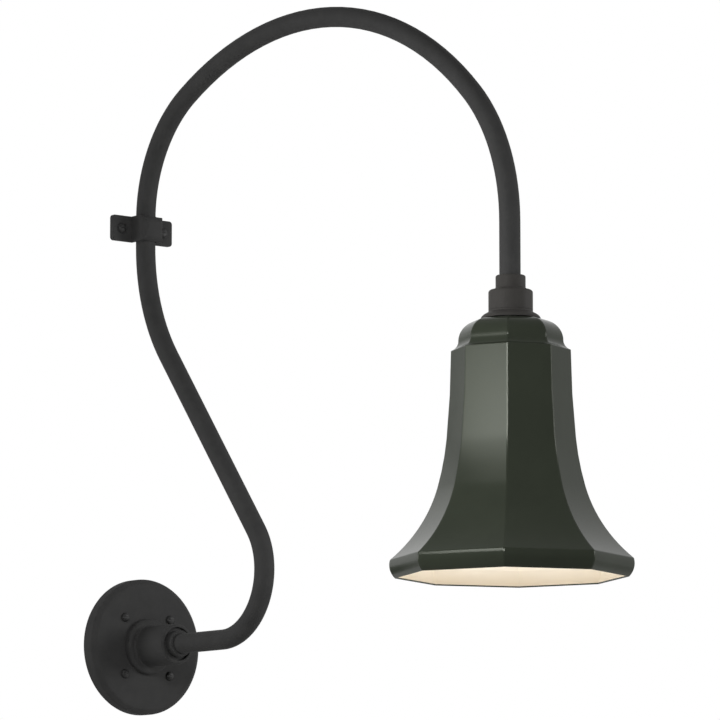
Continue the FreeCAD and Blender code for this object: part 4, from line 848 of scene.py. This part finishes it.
# %% Shade edges and wall
RIDGE_BEVEL = 0.8
CROSS_BEVEL = 0.5
CROSS_ANGLE = math.radians(25)
RIDGE_SHARP_ANGLE = math.radians(10)
SHADE_WALL = 2
RIM_ROUNDING = 0.35
RIM_ANGLE = math.radians(55)
SAME_DIRECTION = MERGE_DISTANCE * MM
ridges = []
for edge in shade.edges:
    a, b = edge.verts[0].co, edge.verts[1].co
    if not edge.is_boundary and abs(a.x * b.y - a.y * b.x) < SAME_DIRECTION:
        ridges.append(edge)
bevel_edges(shade, ridges, RIDGE_BEVEL, 1)
crossings = [edge for edge in shade.edges
             if not edge.is_boundary and edge.calc_face_angle() > CROSS_ANGLE]
bevel_edges(shade, crossings, CROSS_BEVEL, 1)
bell = show("bell_shade", moved(shade, shift(0, REACH, 0)), "shade",
            [green_enamel, cream_enamel], sharp=RIDGE_SHARP_ANGLE)
wall = bell.modifiers.new("wall", "SOLIDIFY")
wall.thickness = SHADE_WALL * MM
wall.offset = -1
wall.use_even_offset = True
wall.material_offset = 1
wall.material_offset_rim = 0
rim = bell.modifiers.new("rim", "BEVEL")
rim.width = RIM_ROUNDING * MM
rim.segments = 2
rim.limit_method = "ANGLE"
rim.angle_limit = RIM_ANGLE
flat = bell.modifiers.new("flat_facets", "WEIGHTED_NORMAL")
flat.keep_sharp = True

# %% [markdown]
# The lampholder is two pieces of glazed porcelain. They are turned, with rounded rims, and a
# shallow groove round each lets the fingers grip. Inside, the lower piece has one chamber
# for the brass shell, a narrower one for the contact, a seat for its spring and a hole for
# its stem. The upper piece has a chamber for the wires and a hole for the nipple.

# %% Lampholder
HOLDER_FOOT = 218.3
HOLDER_RADIUS = 20
BODY_HEIGHT = 44
TOP_HEIGHT = 16
SHELL_CHAMBER = 13.9
SHELL_CHAMBER_DEPTH = 24
CONTACT_CHAMBER = 7
CONTACT_CHAMBER_DEPTH = 36
SPRING_SEAT = 3.7
SPRING_SEAT_DEPTH = 39
STEM_HOLE = 1.6
WIRE_CHAMBER = 14.5
WIRE_CHAMBER_DEPTH = 10
TOP_HOLE = 6.4
BODY_GRIP = 12
TOP_GRIP = 5
GRIP_WIDTH = 4
GRIP_DEPTH = 1


def grip(start):
    """The corners of the groove for the fingers, from where it starts upwards."""
    end = start + GRIP_WIDTH
    floor = HOLDER_RADIUS - GRIP_DEPTH
    return [(HOLDER_RADIUS, start, 0.8), (floor, start + GRIP_DEPTH, 0.6),
            (floor, end - GRIP_DEPTH, 0.6), (HOLDER_RADIUS, end, 0.8)]


show("holder_body", moved(turned([
    (SHELL_CHAMBER, 0, 0.7), (HOLDER_RADIUS, 0, 2), *grip(BODY_GRIP),
    (HOLDER_RADIUS, BODY_HEIGHT, 0.5), (STEM_HOLE, BODY_HEIGHT),
    (STEM_HOLE, SPRING_SEAT_DEPTH), (SPRING_SEAT, SPRING_SEAT_DEPTH),
    (SPRING_SEAT, CONTACT_CHAMBER_DEPTH), (CONTACT_CHAMBER, CONTACT_CHAMBER_DEPTH),
    (CONTACT_CHAMBER, SHELL_CHAMBER_DEPTH), (SHELL_CHAMBER, SHELL_CHAMBER_DEPTH),
]), shift(0, REACH, HOLDER_FOOT)), "lamp_socket", [porcelain_glaze])
show("holder_top", moved(turned([
    (WIRE_CHAMBER, 0), (HOLDER_RADIUS, 0, 0.5), *grip(TOP_GRIP),
    (HOLDER_RADIUS, TOP_HEIGHT, 2), (TOP_HOLE, TOP_HEIGHT),
    (TOP_HOLE, WIRE_CHAMBER_DEPTH), (WIRE_CHAMBER, WIRE_CHAMBER_DEPTH),
]), shift(0, REACH, HOLDER_FOOT + BODY_HEIGHT)), "socket_top", [porcelain_glaze])

# %% [markdown]
# The brass shell is rolled with the coarse round thread of a lamp base: a wavy profile is
# spun once round while it climbs by one pitch, so each wave meets the next one. The shell has
# six waves from its mouth to its floor, about 3.7 mm each. Five are in the profile, and the
# climb of the spin adds one. A flat brass ring closes the shell's inner end, below the
# contact.

# %% Screw shell
SHELL_FOOT = HOLDER_FOOT + 2
SHELL_DEPTH = 22
SHELL_RADIUS = 13.3
SHELL_SHEET = 0.3
SHELL_FLOOR = 0.5
SHELL_FLOOR_RADIUS = 13.2
THREAD_WAVES = 6
THREAD_PITCH = SHELL_DEPTH / THREAD_WAVES
THREAD_DEPTH = 0.35
WAVE_STEPS = 8
SPIN_STEPS = 72
shell = bmesh.new()
wave = []
for index in range((THREAD_WAVES - 1) * WAVE_STEPS + 1):
    turn = FULL_TURN * index / WAVE_STEPS
    wave.append(((SHELL_RADIUS + THREAD_DEPTH * math.cos(turn)) * MM, 0,
                 THREAD_PITCH * index / WAVE_STEPS * MM))
row_of_points(shell, wave)
spun(shell, shell.verts[:] + shell.edges[:], CENTRE, UPWARD, FULL_TURN, SPIN_STEPS,
     climb=(0, 0, THREAD_PITCH * MM / SPIN_STEPS))
bmesh.ops.remove_doubles(shell, verts=shell.verts[:], dist=2 * MERGE_DISTANCE)
bmesh.ops.recalc_face_normals(shell, faces=shell.faces[:])
brass_shell = show("thread_shell", moved(shell, shift(0, REACH, SHELL_FOOT)), "screw_shell",
                   [plain_brass])
sheet = brass_shell.modifiers.new("sheet", "SOLIDIFY")
sheet.thickness = SHELL_SHEET * MM
sheet.offset = 0
show("shell_floor", moved(turned([
    (CONTACT_CHAMBER, SHELL_DEPTH - SHELL_FLOOR), (SHELL_FLOOR_RADIUS, SHELL_DEPTH - SHELL_FLOOR),
    (SHELL_FLOOR_RADIUS, SHELL_DEPTH), (CONTACT_CHAMBER, SHELL_DEPTH),
]), shift(0, REACH, SHELL_FOOT)), "screw_shell", [plain_brass])
